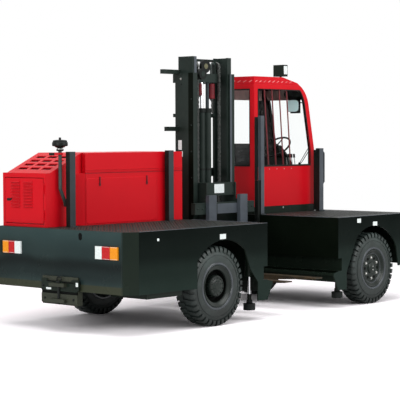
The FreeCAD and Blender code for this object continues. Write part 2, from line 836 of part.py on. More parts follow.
def build_housing():
    """The radiator housing: a hollow box with a sloping grille on top and a door at the rear."""
    profile = [
        (HOUSE_REAR, "deck_height"),
        (HOUSE_FRONT, "deck_height"),
        (HOUSE_FRONT, "hood_top"),
        (LEDGE, "housing_rear_top"),
        (HOUSE_REAR, "housing_rear_top"),
    ]
    inside = [
        (f"{HOUSE_REAR} + hood_wall", "deck_height - 1"),
        (f"{HOUSE_FRONT} - hood_wall", "deck_height - 1"),
        (f"{HOUSE_FRONT} - hood_wall", "hood_top - 1.6 * hood_wall"),
        (f"{LEDGE} + 0.3 * hood_wall", "housing_rear_top - hood_wall"),
        (f"{HOUSE_REAR} + hood_wall", "housing_rear_top - hood_wall"),
    ]
    door_low = (HOUSE_REAR, "housing_side + door_margin + door_gap", "deck_height + door_margin + door_gap")
    door_high = (
        f"{HOUSE_REAR} + hood_wall", f"{BODY_SIDE} - door_margin - door_gap",
        "housing_rear_top - 1.6 * door_margin - door_gap",
    )
    seam = "(housing_side + door_margin)"
    door_parts, house_parts = [], []
    for label, low in (("low", "deck_height + 90"), ("high", "housing_rear_top - 190")):
        moving, fixed = hinge(
            f"house_hinge_{label}", "z", (f"{HOUSE_REAR} - hinge_radius - 1", seam), (low, f"{low} + 60"), "30",
            (
                ((f"{HOUSE_REAR} - hinge_radius", seam), (f"{HOUSE_REAR} + 2", f"{seam} + door_gap + 8")),
                ((f"{HOUSE_REAR} - hinge_radius", f"{seam} - 14"), (f"{HOUSE_REAR} + 2", seam)),
            ),
        )
        door_parts += moving
        house_parts += fixed
    hollow = cut(
        "housing_shell",
        prism("housing_outer", "XZ_Plane", profile, "housing_side", BODY_SIDE),
        prism("housing_inner", "XZ_Plane", inside, "housing_side + hood_wall", f"{BODY_SIDE} - hood_wall"),
        block(
            "housing_doorway",
            (f"{HOUSE_REAR} - 1", "housing_side + door_margin", "deck_height + door_margin"),
            (f"{HOUSE_REAR} + hood_wall + 1", f"{BODY_SIDE} - door_margin", "housing_rear_top - 1.6 * door_margin"),
        ),
        block(
            "housing_vent",
            (VENT_LOW, "housing_side + vent_margin", "housing_rear_top - 3 * hood_wall"),
            (VENT_HIGH, f"{BODY_SIDE} - vent_margin", "hood_top + 1"),
        ),
    )
    node("radiator_housing", fuse("housing_hinged", hollow, *house_parts))
    louvres = []
    for column in range(2):
        for row in range(9):
            low = f"{BODY_SIDE} - door_margin - 105 - {column} * 190"
            height = f"deck_height + 200 + {row} * 32"
            louvres.append(block(
                f"door_louvre_{column}_{row}",
                (f"{HOUSE_REAR} - 1", f"{low} - 130", height), (f"{HOUSE_REAR} + hood_wall + 1", low, f"{height} + 12"),
            ))
    panel = cut("radiator_door_slotted", block("radiator_door_panel", door_low, door_high), *louvres)
    node("radiator_door", fuse("radiator_door_hinged", panel, *door_parts))

    low, high = f"({VENT_LOW} + running_gap)", f"({VENT_HIGH} - running_gap)"
    side_low, side_high = "(housing_side + vent_margin + running_gap)", f"({BODY_SIDE} - vent_margin - running_gap)"
    plate = prism("vent_plate_blank", "XZ_Plane", [
        (low, slope_height(low)),
        (low, f"{slope_height(low)} - vent_plate"),
        (high, f"{slope_height(high)} - vent_plate"),
        (high, slope_height(high)),
    ], side_low, side_high)
    slots = []
    for column in range(3):
        for row in range(4):
            near = f"({low} + ({row} + 0.22) * ({high} - {low}) / 4)"
            right = f"({side_low} + ({column} + 0.12) * ({side_high} - {side_low}) / 3)"
            slots.append(block(
                f"vent_slot_{column}_{row}",
                (near, right, "housing_rear_top - 3 * hood_wall"),
                (f"{near} + 0.56 * ({high} - {low}) / 4", f"{right} + 0.76 * ({side_high} - {side_low}) / 3",
                 "hood_top + 1"),
            ))
    node("radiator_grille", cut("vent_slotted", plate, *slots))
    node("radiator", block(
        "radiator_core",
        (f"{HOUSE_REAR} + 80", "housing_side + 60", "deck_height"),
        (f"{HOUSE_REAR} + 170", f"{BODY_SIDE} - 60", "housing_rear_top - 90"),
    ))


def build_intake():
    """The engine's air intake beside the housing, its cap and bowl turned as one form."""
    along, across = f"({REAR} + intake_behind)", "(housing_side - intake_gap)"
    head = many_sided("intake_head", [
        ("0.001", "0"),
        ("intake_pipe", "0"),
        ("intake_pipe", "62"),
        ("intake_bowl - 14", "72"),
        ("intake_bowl", "92"),
        ("intake_bowl", "134"),
        ("intake_cap", "140"),
        ("intake_cap", "168"),
        ("intake_cap - 26", "192"),
        ("0.001", "196"),
    ], 20)
    place(head, (along, across, "intake_top - 196"), Rotation(Vector(1, 0, 0), 90))
    pipe = flat_rod("intake_pipe_down", "z", (along, across, "intake_top - 520"), "intake_pipe", "330", 12)
    elbow = block(
        "intake_elbow",
        (f"{along} - intake_pipe", f"{across} - intake_pipe", "intake_top - 590"),
        (f"{along} + 120", f"{across} + intake_pipe", "intake_top - 515"),
    )
    inlet = block(
        "intake_inlet",
        (f"{along} + 60", f"{across} + intake_pipe - 1", "intake_top - 590"),
        (f"{along} + 120", "housing_side", "intake_top - 515"),
    )
    node("air_intake", fuse("intake_stack", head, pipe, elbow, inlet))


def build_posts():
    posts = []
    for label, low in (("one", f"{REAR} + post_one_behind"), ("two", f"{WELL_REAR} - post_two_behind")):
        posts.append(block(
            f"post_{label}",
            (low, "post_front", "deck_height"),
            (f"{low} + post_length", "post_front + post_depth", "post_top"),
        ))
    posts.append(block(
        "post_three",
        (f"{WELL_FRONT} + post_gap", "post_front", "deck_height"),
        (f"{WELL_FRONT} + post_gap + cab_post_length", "post_front + cab_post_depth", "cab_post_top"),
    ))
    low = f"({CAB_FRONT} - post_four_behind)"
    last = block(
        "post_four",
        (low, "post_front", "deck_height"),
        (f"{low} + post_length", "post_front + post_depth", "post_top"),
    )
    grip_low, grip_high = f"({low} + post_length - 5)", f"({low} + post_length + handle_reach)"
    loop = prism("grab_loop", "XZ_Plane", [
        (grip_low, "post_top - 460"),
        (grip_high, "post_top - 420"),
        (grip_high, "post_top - 70", "45"),
        (f"{grip_high} - 40", "post_top - 35"),
        (grip_low, "post_top - 35"),
    ], "post_front + 12", "post_front + 32")
    gap = prism("grab_gap", "XZ_Plane", [
        (f"{grip_low} + 4", "post_top - 436"),
        (f"{grip_high} - 18", "post_top - 408"),
        (f"{grip_high} - 18", "post_top - 70", "28"),
        (f"{grip_high} - 42", "post_top - 53"),
        (f"{grip_low} + 4", "post_top - 53"),
    ], "post_front + 11", "post_front + 33")
    handle = [cut("grab_handle", loop, gap)]
    posts.append(fuse("post_with_handle", last, *handle))
    node("stanchions", group("posts", *posts))


def build_tanks():
    node("fuel_tank", block(
        "tank_body",
        (f"{REAR} + 265", f"-{SIDE} + 40", "365"),
        (f"{REAR} + 780", "-rail_offset - rail_width / 2 - 20", "deck_height - deck_plate"),
    ))
    plate = block("tow_plate", (f"{REAR} - 1", "-260", "275"), (f"{REAR} + 45", "260", "560"))
    clear = block("tow_seat", (f"{REAR} - 2", "-261", "skirt_bottom"), (f"{REAR} + 46", "261", "561"))
    hole = rod("tow_hole", "z", (f"{REAR} - tow_reach + 38", "0", "290"), "17", "220")
    backing = block("tow_backing", (f"{REAR} - 20", "-260", "275"), (REAR, "260", "560"))
    node("tow_coupler", cut(
        "tow_bored", fuse("tow_body", cut("tow_trimmed", plate, clear), backing, *[
            block(
                f"tow_ear_short_{label}",
                (f"{REAR} - tow_reach", "-110", height), (REAR, "110", f"{height} + 35"),
            )
            for label, height in (("low", "300"), ("high", "460"))
        ]), hole,
    ))


def build_lamps():
    pieces = []
    for side, centre in ((-1, "-657"), (1, "752")):
        pieces.append(block(
            f"tail_lamp_{'left' if side > 0 else 'right'}",
            (f"{REAR} - 18", f"{centre} - 162", "766"), (REAR, f"{centre} + 162", "891"),
        ))
    for side in (-1, 1):
        pieces.append(flat_rod(
            f"head_lamp_{'left' if side > 0 else 'right'}", "x",
            (f"{FRONT} - 60", f"{side} * lamp_offset", "lamp_height"), "lamp_radius", "56", 18,
        ))
    lamp = fuse(
        "work_lamp",
        block(
            "lamp_box",
            (f"{CAB_FRONT} - 420", "470", "cab_roof_top + 22"), (f"{CAB_FRONT} - 330", "625", "cab_roof_top + 165"),
        ),
        block(
            "lamp_foot",
            (f"{CAB_FRONT} - 385", "535", "cab_roof_bottom + 34.3"), (f"{CAB_FRONT} - 365", "555", "cab_roof_top + 30"),
        ),
    )
    node("lamps", group("lamp_pieces", *pieces, lamp))


def build_jacks():
    barrels = []
    for label, wall, way in (("rear", WELL_REAR, -1), ("front", WELL_FRONT, 1)):
        centre = (f"{wall} + ({way}) * jack_offset", f"-{JACK_Y}")
        barrel = flat_rod(
            f"{label}_jack_tube", "z", (*centre, "470"), "jack_radius", "deck_height - deck_plate - 470", 16,
        )
        bore = flat_rod(
            f"{label}_jack_bore", "z", (*centre, "469"), "jack_rod_radius + running_gap", "340", 16,
        )
        barrels.append(cut(f"{label}_jack_barrel", barrel, bore))
        stem = fuse(
            f"{label}_jack_leg",
            flat_rod(f"{label}_jack_rod", "z", (*centre, "jack_foot_bottom + 80"), "jack_rod_radius", "600", 16),
            flat_rod(f"{label}_jack_stub", "z", (*centre, "jack_foot_bottom + 60"), "jack_rod_radius + 6", "110", 16),
            flat_rod(f"{label}_jack_foot", "z", (*centre, "jack_foot_bottom"), "jack_foot_radius", "70", 16),
        )
        node(f"{label}_jack", stem)
    node("jack_barrels", group("jack_tubes", *barrels))


# ---------------------------------------------------------------- cab


def cab_outline(inset, low, high):
    """The cab's side outline, drawn in by an inset at the front and the rear."""
    return [
        (f"{CAB_REAR} + {inset}", low),
        (f"{CAB_FRONT} - {inset}", low),
        (f"{CAB_FRONT} - {inset}", "screen_break"),
        (f"{CAB_FRONT} - screen_mid_inset - {inset}", "screen_mid_height", "brow_radius"),
        (f"{CAB_FRONT} - screen_top_inset - {inset}", high),
        (f"{CAB_REAR} + {inset}", high),
    ]


def window_outline(rear, inset):
    return [
        (rear, "sill"),
        (f"{CAB_FRONT} - {inset}", "sill"),
        (f"{CAB_FRONT} - {inset}", "screen_break"),
        (f"{CAB_FRONT} - screen_mid_inset - {inset}", "screen_mid_height", "brow_radius"),
        (f"{CAB_FRONT} - header_inset - {inset}", "header"),
        (rear, "header"),
    ]


def build_cab():
    outer = prism("cab_outer", "XZ_Plane", cab_outline("0", PLINTH_TOP, "cab_roof_bottom"), "cab_side", BODY_SIDE)
    inner = prism(
        "cab_inner", "XZ_Plane",
        cab_outline("cab_wall", f"{PLINTH_TOP} - 1", "cab_roof_bottom + 1"),
        "cab_side + cab_wall", f"{BODY_SIDE} - cab_wall",
    )
    side_window = prism(
        "side_window_hole", "XZ_Plane", window_outline(f"{CAB_REAR} + 70", "75"),
        "cab_side - 1", "cab_side + cab_wall + 1",
    )
    rear_window = block(
        "rear_window_hole",
        (f"{CAB_REAR} - 1", "cab_side + 65", "sill"),
        (f"{CAB_REAR} + cab_wall + 1", f"{BODY_SIDE} - 65", "header"),
    )
    screen = block(
        "screen_hole",
        (f"{CAB_FRONT} - screen_top_inset - cab_wall", "cab_side + 55", "sill"),
        (f"{CAB_FRONT} + 1", f"{BODY_SIDE} - 55", "header"),
    )
    doorway = block(
        "doorway",
        (DOOR_REAR, f"{BODY_SIDE} - cab_wall - 1", f"{PLINTH_TOP} - 1"),
        (DOOR_FRONT, f"{BODY_SIDE} + 1", "header"),
    )
    body = cut("cab_hollow", outer, inner, side_window, rear_window, screen, doorway)

    door_low = (f"{DOOR_REAR} + door_gap", f"{BODY_SIDE} - cab_wall", f"{PLINTH_TOP} + door_gap")
    door_high = (f"{DOOR_FRONT} - door_gap", BODY_SIDE, "header - door_gap")
    light_low = (f"{DOOR_REAR} + 70", f"{BODY_SIDE} - cab_wall - 1", "sill")
    light_high = (f"{DOOR_FRONT} - 70", f"{BODY_SIDE} + 1", "header - 60")
    panel = cut(
        "door_frame", block("door_panel", door_low, door_high), block("door_light", light_low, light_high),
    )
    door_parts, jamb_parts = [], []
    for label, low in (("low", f"{PLINTH_TOP} + 120"), ("high", "header - 260")):
        moving, fixed = hinge(
            f"door_hinge_{label}", "z", (DOOR_FRONT, HINGE_Y), (low, f"{low} + 80"), "30",
            (
                ((f"{DOOR_FRONT} - door_gap - 8", f"{BODY_SIDE} - 2"), (DOOR_FRONT, HINGE_Y)),
                ((DOOR_FRONT, f"{BODY_SIDE} - 2"), (f"{DOOR_FRONT} + 14", HINGE_Y)),
            ),
        )
        door_parts += moving
        jamb_parts += fixed
    node("cab_shell", fuse("cab_hinged", body, *jamb_parts))
    node("cab_door", fuse("door_hinged", panel, *door_parts))
    middle = "cab_wall / 2 - pane / 2"
    node("door_glass", block(
        "door_pane",
        (light_low[0], f"{BODY_SIDE} - {middle} - pane", light_low[2]),
        (light_high[0], f"{BODY_SIDE} - {middle}", light_high[2]),
    ))
    node("cab_plinth", cut(
        "plinth_tray",
        block("plinth_outer", (CAB_REAR, "cab_side", "deck_height"), (CAB_FRONT, BODY_SIDE, f"{PLINTH_TOP} - seam_gap")),
        block(
            "plinth_inner",
            (f"{CAB_REAR} + cab_wall", "cab_side + cab_wall", "deck_height + cab_floor"),
            (f"{CAB_FRONT} - cab_wall", f"{BODY_SIDE} - cab_wall", f"{PLINTH_TOP} + 1"),
        ),
    ))
    build_cab_roof()

    panes = [
        prism(
            "side_pane", "XZ_Plane", window_outline(f"{CAB_REAR} + 70", "75"),
            f"cab_side + {middle}", f"cab_side + {middle} + pane",
        ),
        block(
            "rear_pane",
            (f"{CAB_REAR} + {middle}", "cab_side + 65", "sill"),
            (f"{CAB_REAR} + {middle} + pane", f"{BODY_SIDE} - 65", "header"),
        ),
        prism("windscreen_pane", "XZ_Plane", [
            (f"{CAB_FRONT} - 20 - pane", "sill"),
            (f"{CAB_FRONT} - 20", "sill"),
            (f"{CAB_FRONT} - 20", "screen_break"),
            (f"{CAB_FRONT} - screen_mid_inset - 20", "screen_mid_height", "brow_radius"),
            (f"{CAB_FRONT} - header_inset - 20", "header"),
            (f"{CAB_FRONT} - header_inset - 20 - 1.2 * pane", "header", "-brow_radius"),
            (f"{CAB_FRONT} - screen_mid_inset - 20 - 1.2 * pane", "screen_mid_height"),
            (f"{CAB_FRONT} - 20 - pane", "screen_break"),
        ], "cab_side + 55", f"{BODY_SIDE} - 55"),
    ]
    node("cab_glass", group("cab_panes", *panes))


def build_cab_roof():
    """Two side rails and end rails that carry a row of leaning slats, open between them."""
    rim = prism("roof_rim", "XZ_Plane", [
        (CAB_REAR, "cab_roof_bottom"),
        (f"{CAB_FRONT} - screen_top_inset", "cab_roof_bottom"),
        (f"{CAB_FRONT} - screen_top_inset - 40", "cab_roof_bottom + 24"),
        (f"{CAB_FRONT} - screen_top_inset - 330", "cab_roof_top"),
        (CAB_REAR, "cab_roof_top"),
    ], "cab_side", BODY_SIDE)
    inside = block(
        "roof_inside",
        (f"{CAB_REAR} + 40", "cab_side + 45", "cab_roof_bottom - 1"),
        (f"{CAB_FRONT} - screen_top_inset - 120", f"{BODY_SIDE} - 45", "cab_roof_top + 1"),
    )
    slats = []
    for number in range(6):
        low = f"({CAB_REAR} + 62 + {number} * 112)"
        slats.append(prism(f"roof_slat_{number}", "XZ_Plane", [
            (low, "cab_roof_bottom + 4"),
            (f"{low} + 16", "cab_roof_bottom + 4"),
            (f"{low} + 72", "cab_roof_top - 34"),
            (f"{low} + 56", "cab_roof_top - 34"),
        ], "cab_side + 40", f"{BODY_SIDE} - 40"))
    node("cab_roof", fuse("roof_slatted", cut("roof_open", rim, inside), *slats))


def build_cab_interior():
    floor = "deck_height + cab_floor"
    seat_mid = f"(cab_side + {BODY_SIDE}) / 2"
    node("seat_base", block(
        "seat_box",
        (f"{CAB_REAR} + 150", f"{seat_mid} - 190", floor), (f"{CAB_REAR} + 560", f"{seat_mid} + 190", "1440"),
    ))
    cushion = block(
        "seat_cushion",
        (f"{CAB_REAR} + 200", f"{seat_mid} - 210", "1440.3"), (f"{CAB_REAR} + 640", f"{seat_mid} + 210", "1540"),
    )
    back = block(
        "seat_back",
        (f"{CAB_REAR} + 100", f"{seat_mid} - 205", "1440.3"), (f"{CAB_REAR} + 199", f"{seat_mid} + 205", "1890"),
    )
    node("seat_cushions", group("seat_pads", cushion, back))
    dash = prism("dash_body", "XZ_Plane", [
        (f"{CAB_FRONT} - cab_wall - 280", "sill - 60"),
        (f"{CAB_FRONT} - cab_wall - 200", floor),
        (f"{CAB_FRONT} - cab_wall", floor),
        (f"{CAB_FRONT} - cab_wall", "sill - 10"),
        (f"{CAB_FRONT} - cab_wall - 265", "sill - 10"),
    ], "cab_side + cab_wall + 40", f"{BODY_SIDE} - cab_wall - 40")
    node("dash_console", dash)
    wheel_x, wheel_z = f"({CAB_FRONT} - 340)", "1838"
    node("steering_column", prism("column_cowl", "XZ_Plane", [
        (f"{wheel_x} - 23", "1818.3"),
        (f"{wheel_x} + 110", "sill - 10"),
        (f"{wheel_x} + 262", "sill - 10"),
        (f"{wheel_x} + 215", "1690"),
        (f"{wheel_x} + 23", "1856.9"),
    ], f"{seat_mid} - 48", f"{seat_mid} + 48"))
    ring = many_sided("wheel_ring", [
        ("170", "0"), ("180", "-11"), ("190", "0"), ("180", "11"),
    ], 20)
    lean = Rotation(Vector(0, 1, 0), -40)
    place(ring, (wheel_x, seat_mid, wheel_z), lean.multiply(TURNS["y"]))
    hub = place(doc.addObject("Part::Cylinder", "wheel_hub"), (wheel_x, seat_mid, wheel_z), lean)
    bind(hub, "Radius", "34")
    bind(hub, "Height", "20")
    bar = place(doc.addObject("Part::Box", "wheel_spoke"), (wheel_x, f"{seat_mid} - 178", wheel_z), lean)
    bind(bar, "Length", "24")
    bind(bar, "Width", "356")
    bind(bar, "Height", "10")
    node("steering_wheel", fuse("wheel_assembly", ring, hub, bar))
    node("side_mirror", fuse(
        "mirror_body",
        block(
            "mirror_case",
            (f"{CAB_FRONT} - 225", "cab_side + 60", "2255"), (f"{CAB_FRONT} - 200", "cab_side + 200", "2430"),
        ),
        block(
            "mirror_arm",
            (f"{CAB_FRONT} - 215", "cab_side + cab_wall", "2380"), (f"{CAB_FRONT} - 165", "cab_side + 62", "2392"),
        ),
    ))
    guards = []
    lean_back = Rotation(Vector(0, 1, 0), -5)
    for number in range(4):
        bar = flat_rod(f"guard_bar_{number}", "z", ("0", "0", "0"), "8", "1100", 8)
        place(bar, (f"{CAB_REAR} + 290 + {number} * 143", "cab_side + 9", "sill - 60"), lean_back)
        guards.append(bar)
    trimmed = doc.addObject("Part::Common", "guard_bars")
    trimmed.Base = fuse("guard_bars_long", *guards)
    trimmed.Tool = block(
        "guard_limits", (CAB_REAR, "cab_side", "sill"), (CAB_FRONT, "cab_side + 30", "header"),
    )
    node("window_guard", trimmed)


# ---------------------------------------------------------------- mast


def mirror_x(name, thing):
    """The same piece on the other side of the mast's middle plane."""
    twin = doc.addObject("Part::Mirroring", name)
    twin.Source = thing
    twin.Normal = Vector(1, 0, 0)
    bind(twin, "Base.x", WELL_MID)
    return twin


def channel(name, web_low, front, back, web, flange, reach, bottom, top):
    """A channel that opens inwards, towards the mast's middle."""
    return prism(name, "XY_Plane", [
        (web_low, front),
        (f"{web_low} + {reach}", front),
        (f"{web_low} + {reach}", f"{front} + {flange}"),
        (f"{web_low} + {web}", f"{front} + {flange}"),
        (f"{web_low} + {web}", f"{back} - {flange}"),
        (f"{web_low} + {reach}", f"{back} - {flange}"),
        (f"{web_low} + {reach}", back),
        (web_low, back),
    ], bottom, top)


INNER_LOW = f"({MAST_LOW} + channel_web + nest_gap)"
INNER_FRONT = "(mast_front + channel_flange + nest_gap)"
INNER_BACK = f"({MAST_BACK} - channel_flange - nest_gap)"
PIVOT_Y = "(mast_front + mast_depth / 2)"
LIFT_Y = f"({PIVOT_Y} + 12)"
TILT_BASE_Y = f"({SIDE} - tilt_base_inset)"
TILT_EYE_Y = f"({MAST_BACK} + tilt_eye_behind)"


def build_mast():
    rear = channel(
        "outer_channel", MAST_LOW, "mast_front", MAST_BACK,
        "channel_web", "channel_flange", "flange_length", "mast_bottom", "outer_top",
    )
    pieces = [rear, mirror_x("outer_channel_twin", rear)]
    for label, low, high in (
        ("low", "mast_bottom + 130", "mast_bottom + 250"),
        ("mid", "1500", "1600"),
        ("chain", "chain_back_end - 45", "chain_back_end - 5"),
        ("top", "outer_top - 110", "outer_top - 10"),
    ):
        pieces.append(block(
            f"outer_tie_{label}", (MAST_LOW, MAST_BACK, low), (MAST_HIGH, f"{MAST_BACK} + 35", high),
        ))
    for side in (-1, 1):
        label = "front" if side > 0 else "rear"
        centre = f"{WELL_MID} + {side} * chain_offset"
        pieces.append(block(
            f"chain_bracket_{label}",
            (f"{centre} - 18", f"{PIVOT_Y} + sheave_radius - 14", "chain_back_end - 30"),
            (f"{centre} + 18", f"{MAST_BACK} + 5", "chain_back_end - seam_gap"),
        ))
    for label, reach, low in (("top", "265", "outer_top - 12"), ("mid", "200", "outer_top - 665")):
        pieces.append(block(
            f"hose_arm_{label}",
            (f"{MAST_LOW} - {reach}", f"{MAST_BACK} - 60", low),
            (f"{MAST_LOW} + channel_web - 2", f"{MAST_BACK} - 12", f"{low} + 50"),
        ))
    pieces.append(block(
        "outer_sole",
        (f"{MAST_LOW} + channel_web", "mast_front + channel_flange", "mast_bottom"),
        (f"{MAST_HIGH} - channel_web", MAST_BACK, "mast_bottom + 20"),
    ))
    pivot = flat_rod("pivot_stub", "x", (f"{MAST_LOW} - 52", PIVOT_Y, "pivot_height"), "pivot_radius", "55", 12)
    pin = flat_rod("tilt_pin", "x", (f"{MAST_LOW} - 84", TILT_EYE_Y, "tilt_eye_height"), "18", "84", 8)
    ear = block(
        "tilt_ear",
        (f"{MAST_LOW} - 16", f"{TILT_EYE_Y} - 65", "tilt_eye_height - 50"),
        (f"{MAST_LOW} + 10", f"{TILT_EYE_Y} + 35", "tilt_eye_height + 50"),
    )
    for thing in (pivot, pin, ear):
        pieces += [thing, mirror_x(thing.Name + "_twin", thing)]
    node("outer_mast", fuse("outer_mast_body", *pieces))

    inner = channel(
        "inner_channel", INNER_LOW, INNER_FRONT, INNER_BACK,
        "inner_web", "inner_flange", "inner_flange_length", "inner_bottom", "inner_top",
    )
    pieces = [inner, mirror_x("inner_channel_twin", inner)]
    tie_low, tie_high = f"{INNER_LOW} + inner_flange_length - 15", f"{MAST_HIGH} - channel_web - nest_gap - inner_flange_length + 15"
    for label, low, high in (
        ("low", "inner_bottom + 20", "inner_bottom + 100"),
        ("high", "inner_top - 290", "inner_top - 190"),
    ):
        pieces.append(block(
            f"inner_tie_{label}", (tie_low, f"{INNER_BACK} - inner_flange", low), (tie_high, f"{INNER_BACK} + 18", high),
        ))
    pieces.append(block(
        "inner_crown",
        (INNER_LOW, f"{INNER_BACK} - 55", "inner_top - 45"),
        (f"{MAST_HIGH} - channel_web - nest_gap", INNER_BACK, "inner_top - 18"),
    ))
    pieces.append(block(
        "sheave_beam",
        (f"{WELL_MID} - 232", f"{PIVOT_Y} - 35", "inner_top - 290"),
        (f"{WELL_MID} + 232", f"{PIVOT_Y} + 35", "inner_top - 190"),
    ))
    pieces.append(block(
        "sheave_web",
        (f"{WELL_MID} - 145", f"{PIVOT_Y} + 34", "inner_top - 290"),
        (f"{WELL_MID} + 145", f"{INNER_BACK} - inner_flange + 1", "inner_top - 190"),
    ))
    for side in (-1, 1):
        label = "front" if side > 0 else "rear"
        for edge, reach in (("in", "-34"), ("out", "24")):
            pieces.append(block(
                f"sheave_cheek_{label}_{edge}",
                (f"{WELL_MID} + {side} * chain_offset + {reach}", f"{PIVOT_Y} - 25", "inner_top - 200"),
                (f"{WELL_MID} + {side} * chain_offset + {reach} + 10", f"{PIVOT_Y} + 25", "inner_top - 40"),
            ))
    node("inner_mast", fuse("inner_mast_body", *pieces))

    barrels, rods, chains = [], [], []
    for side in (-1, 1):
        label = "front" if side > 0 else "rear"
        centre = (f"{WELL_MID} + {side} * lift_offset", LIFT_Y)
        tube = flat_rod(f"lift_tube_{label}", "z", (*centre, "mast_bottom + 20"), "lift_radius", "2010", 18)
        bore = flat_rod(
            f"lift_bore_{label}", "z", (*centre, "mast_bottom + 60"), "lift_rod_radius + running_gap", "2000", 12,
        )
        barrels.append(cut(f"lift_barrel_{label}", tube, bore))
        rods.append(flat_rod(
            f"lift_rod_{label}", "z", (*centre, "mast_bottom + 400"), "lift_rod_radius",
            "inner_top - 290 - mast_bottom - 400", 12,
        ))
        chains.append(build_chain(label, f"{WELL_MID} + {side} * chain_offset"))
    node("lift_cylinders", group("lift_barrels", *barrels))
    node("lift_rods", group("lift_rod_pair", *rods))
    node("lift_chains", group("chain_pair", *chains))


def build_chain(label, centre):
    """A sheave with its leaf chain over it, as one piece."""
    hub = PIVOT_Y
    height = "inner_top - 110"
    sheave = flat_rod(f"sheave_{label}", "x", (f"{centre} - 20", hub, height), "sheave_radius", "40", 20)
    axle = flat_rod(f"sheave_axle_{label}", "x", (f"{centre} - 23.7", hub, height), "16", "47.4", 8)
    runs = []
    for run, place_y, low in (
        ("front", f"{hub} - sheave_radius - 12", "chain_front_end"),
        ("back", f"{hub} + sheave_radius - 10", "chain_back_end"),
    ):
        runs.append(block(
            f"chain_{run}_{label}", (f"{centre} - 16", place_y, low), (f"{centre} + 16", f"{place_y} + 22", height),
        ))
    return fuse(f"chain_{label}", sheave, axle, *runs)


def build_carriage():
    back = "(shank_front + fork_thickness)"
    pieces = []
    for label, low, high in (("low", "430", "550"), ("high", "1085", "1215")):
        pieces.append(block(
            f"fork_bar_{label}",
            (f"{WELL_MID} - bar_width / 2", back, low), (f"{WELL_MID} + bar_width / 2", f"{back} + bar_depth", high),
        ))
    pieces.append(block(
        "carriage_plate",
        (f"{WELL_MID} - back_plate_width / 2", f"{back} + bar_depth + 16", "back_plate_bottom"),
        (f"{WELL_MID} + back_plate_width / 2", f"{back} + bar_depth + 40", "back_plate_top"),
    ))
    cheek_low = f"({INNER_LOW} + inner_flange_length + 6)"
    roller_y = PIVOT_Y
    cheek = block(
        "carriage_cheek",
        (cheek_low, f"{back} + bar_depth - 1", "400"), (f"{cheek_low} + 20", f"{PIVOT_Y} + 50", "back_plate_top"),
    )
    cheeks = [cheek, mirror_x("carriage_cheek_twin", cheek)]
    for label, height in (("low", "465"), ("high", "1265")):
        roller = flat_rod(
            f"carriage_roller_{label}", "x",
            (f"{INNER_LOW} + inner_web + 5", roller_y, height),
            "mast_depth / 2 - channel_flange - nest_gap - inner_flange - running_gap",
            "inner_flange_length - inner_web - 8", 12,
        )
        stub = flat_rod(
            f"carriage_stub_{label}", "x",
            (f"{INNER_LOW} + inner_web + 10", roller_y, height), "25", "inner_flange_length + 15 - inner_web", 8,
        )
        cheeks += [roller, mirror_x(f"carriage_roller_{label}_twin", roller)]
        cheeks += [stub, mirror_x(f"carriage_stub_{label}_twin", stub)]
    chain_y = f"({PIVOT_Y} - sheave_radius - 1)"
    anchor = block(
        "chain_anchor",
        (f"{cheek_low} + 19", f"{chain_y} - 32", "chain_front_end - 30"),
        (f"2 * {WELL_MID} - {cheek_low} - 19", f"{chain_y} + 11", "chain_front_end - 5"),
    )
    slots = [
        block(
            f"chain_slot_{'front' if side > 0 else 'rear'}",
            (f"{WELL_MID} + {side} * chain_offset - 22", f"{chain_y} - 17", "chain_front_end - 31"),
            (f"{WELL_MID} + {side} * chain_offset + 22", f"{chain_y} + 17", "chain_front_end - 4"),
        )
        for side in (-1, 1)
    ]
    node("fork_carriage", fuse("carriage_body", *pieces, *cheeks, cut("anchor_beam", anchor, *slots)))

    forks = []
    for side in (-1, 1):
        label = "front" if side > 0 else "rear"
        centre = f"{WELL_MID} + {side} * fork_spacing / 2"
        forks.append(prism(f"fork_{label}", "YZ_Plane", [
            ("fork_tip", "fork_bottom + fork_thickness - fork_tip_height"),
            ("fork_tip + fork_taper", "fork_bottom"),
            (f"{back} - 20", "fork_bottom", "20"),
            (back, "fork_bottom + 20"),
            (back, "shank_top"),
            ("shank_front", "shank_top"),
            ("shank_front", "fork_bottom + fork_thickness + 30", "-30"),
            ("shank_front - 30", "fork_bottom + fork_thickness"),
            ("fork_tip", "fork_bottom + fork_thickness"),
        ], f"{centre} - fork_width / 2", f"{centre} + fork_width / 2"))
    node("forks", group("fork_pair", *forks))


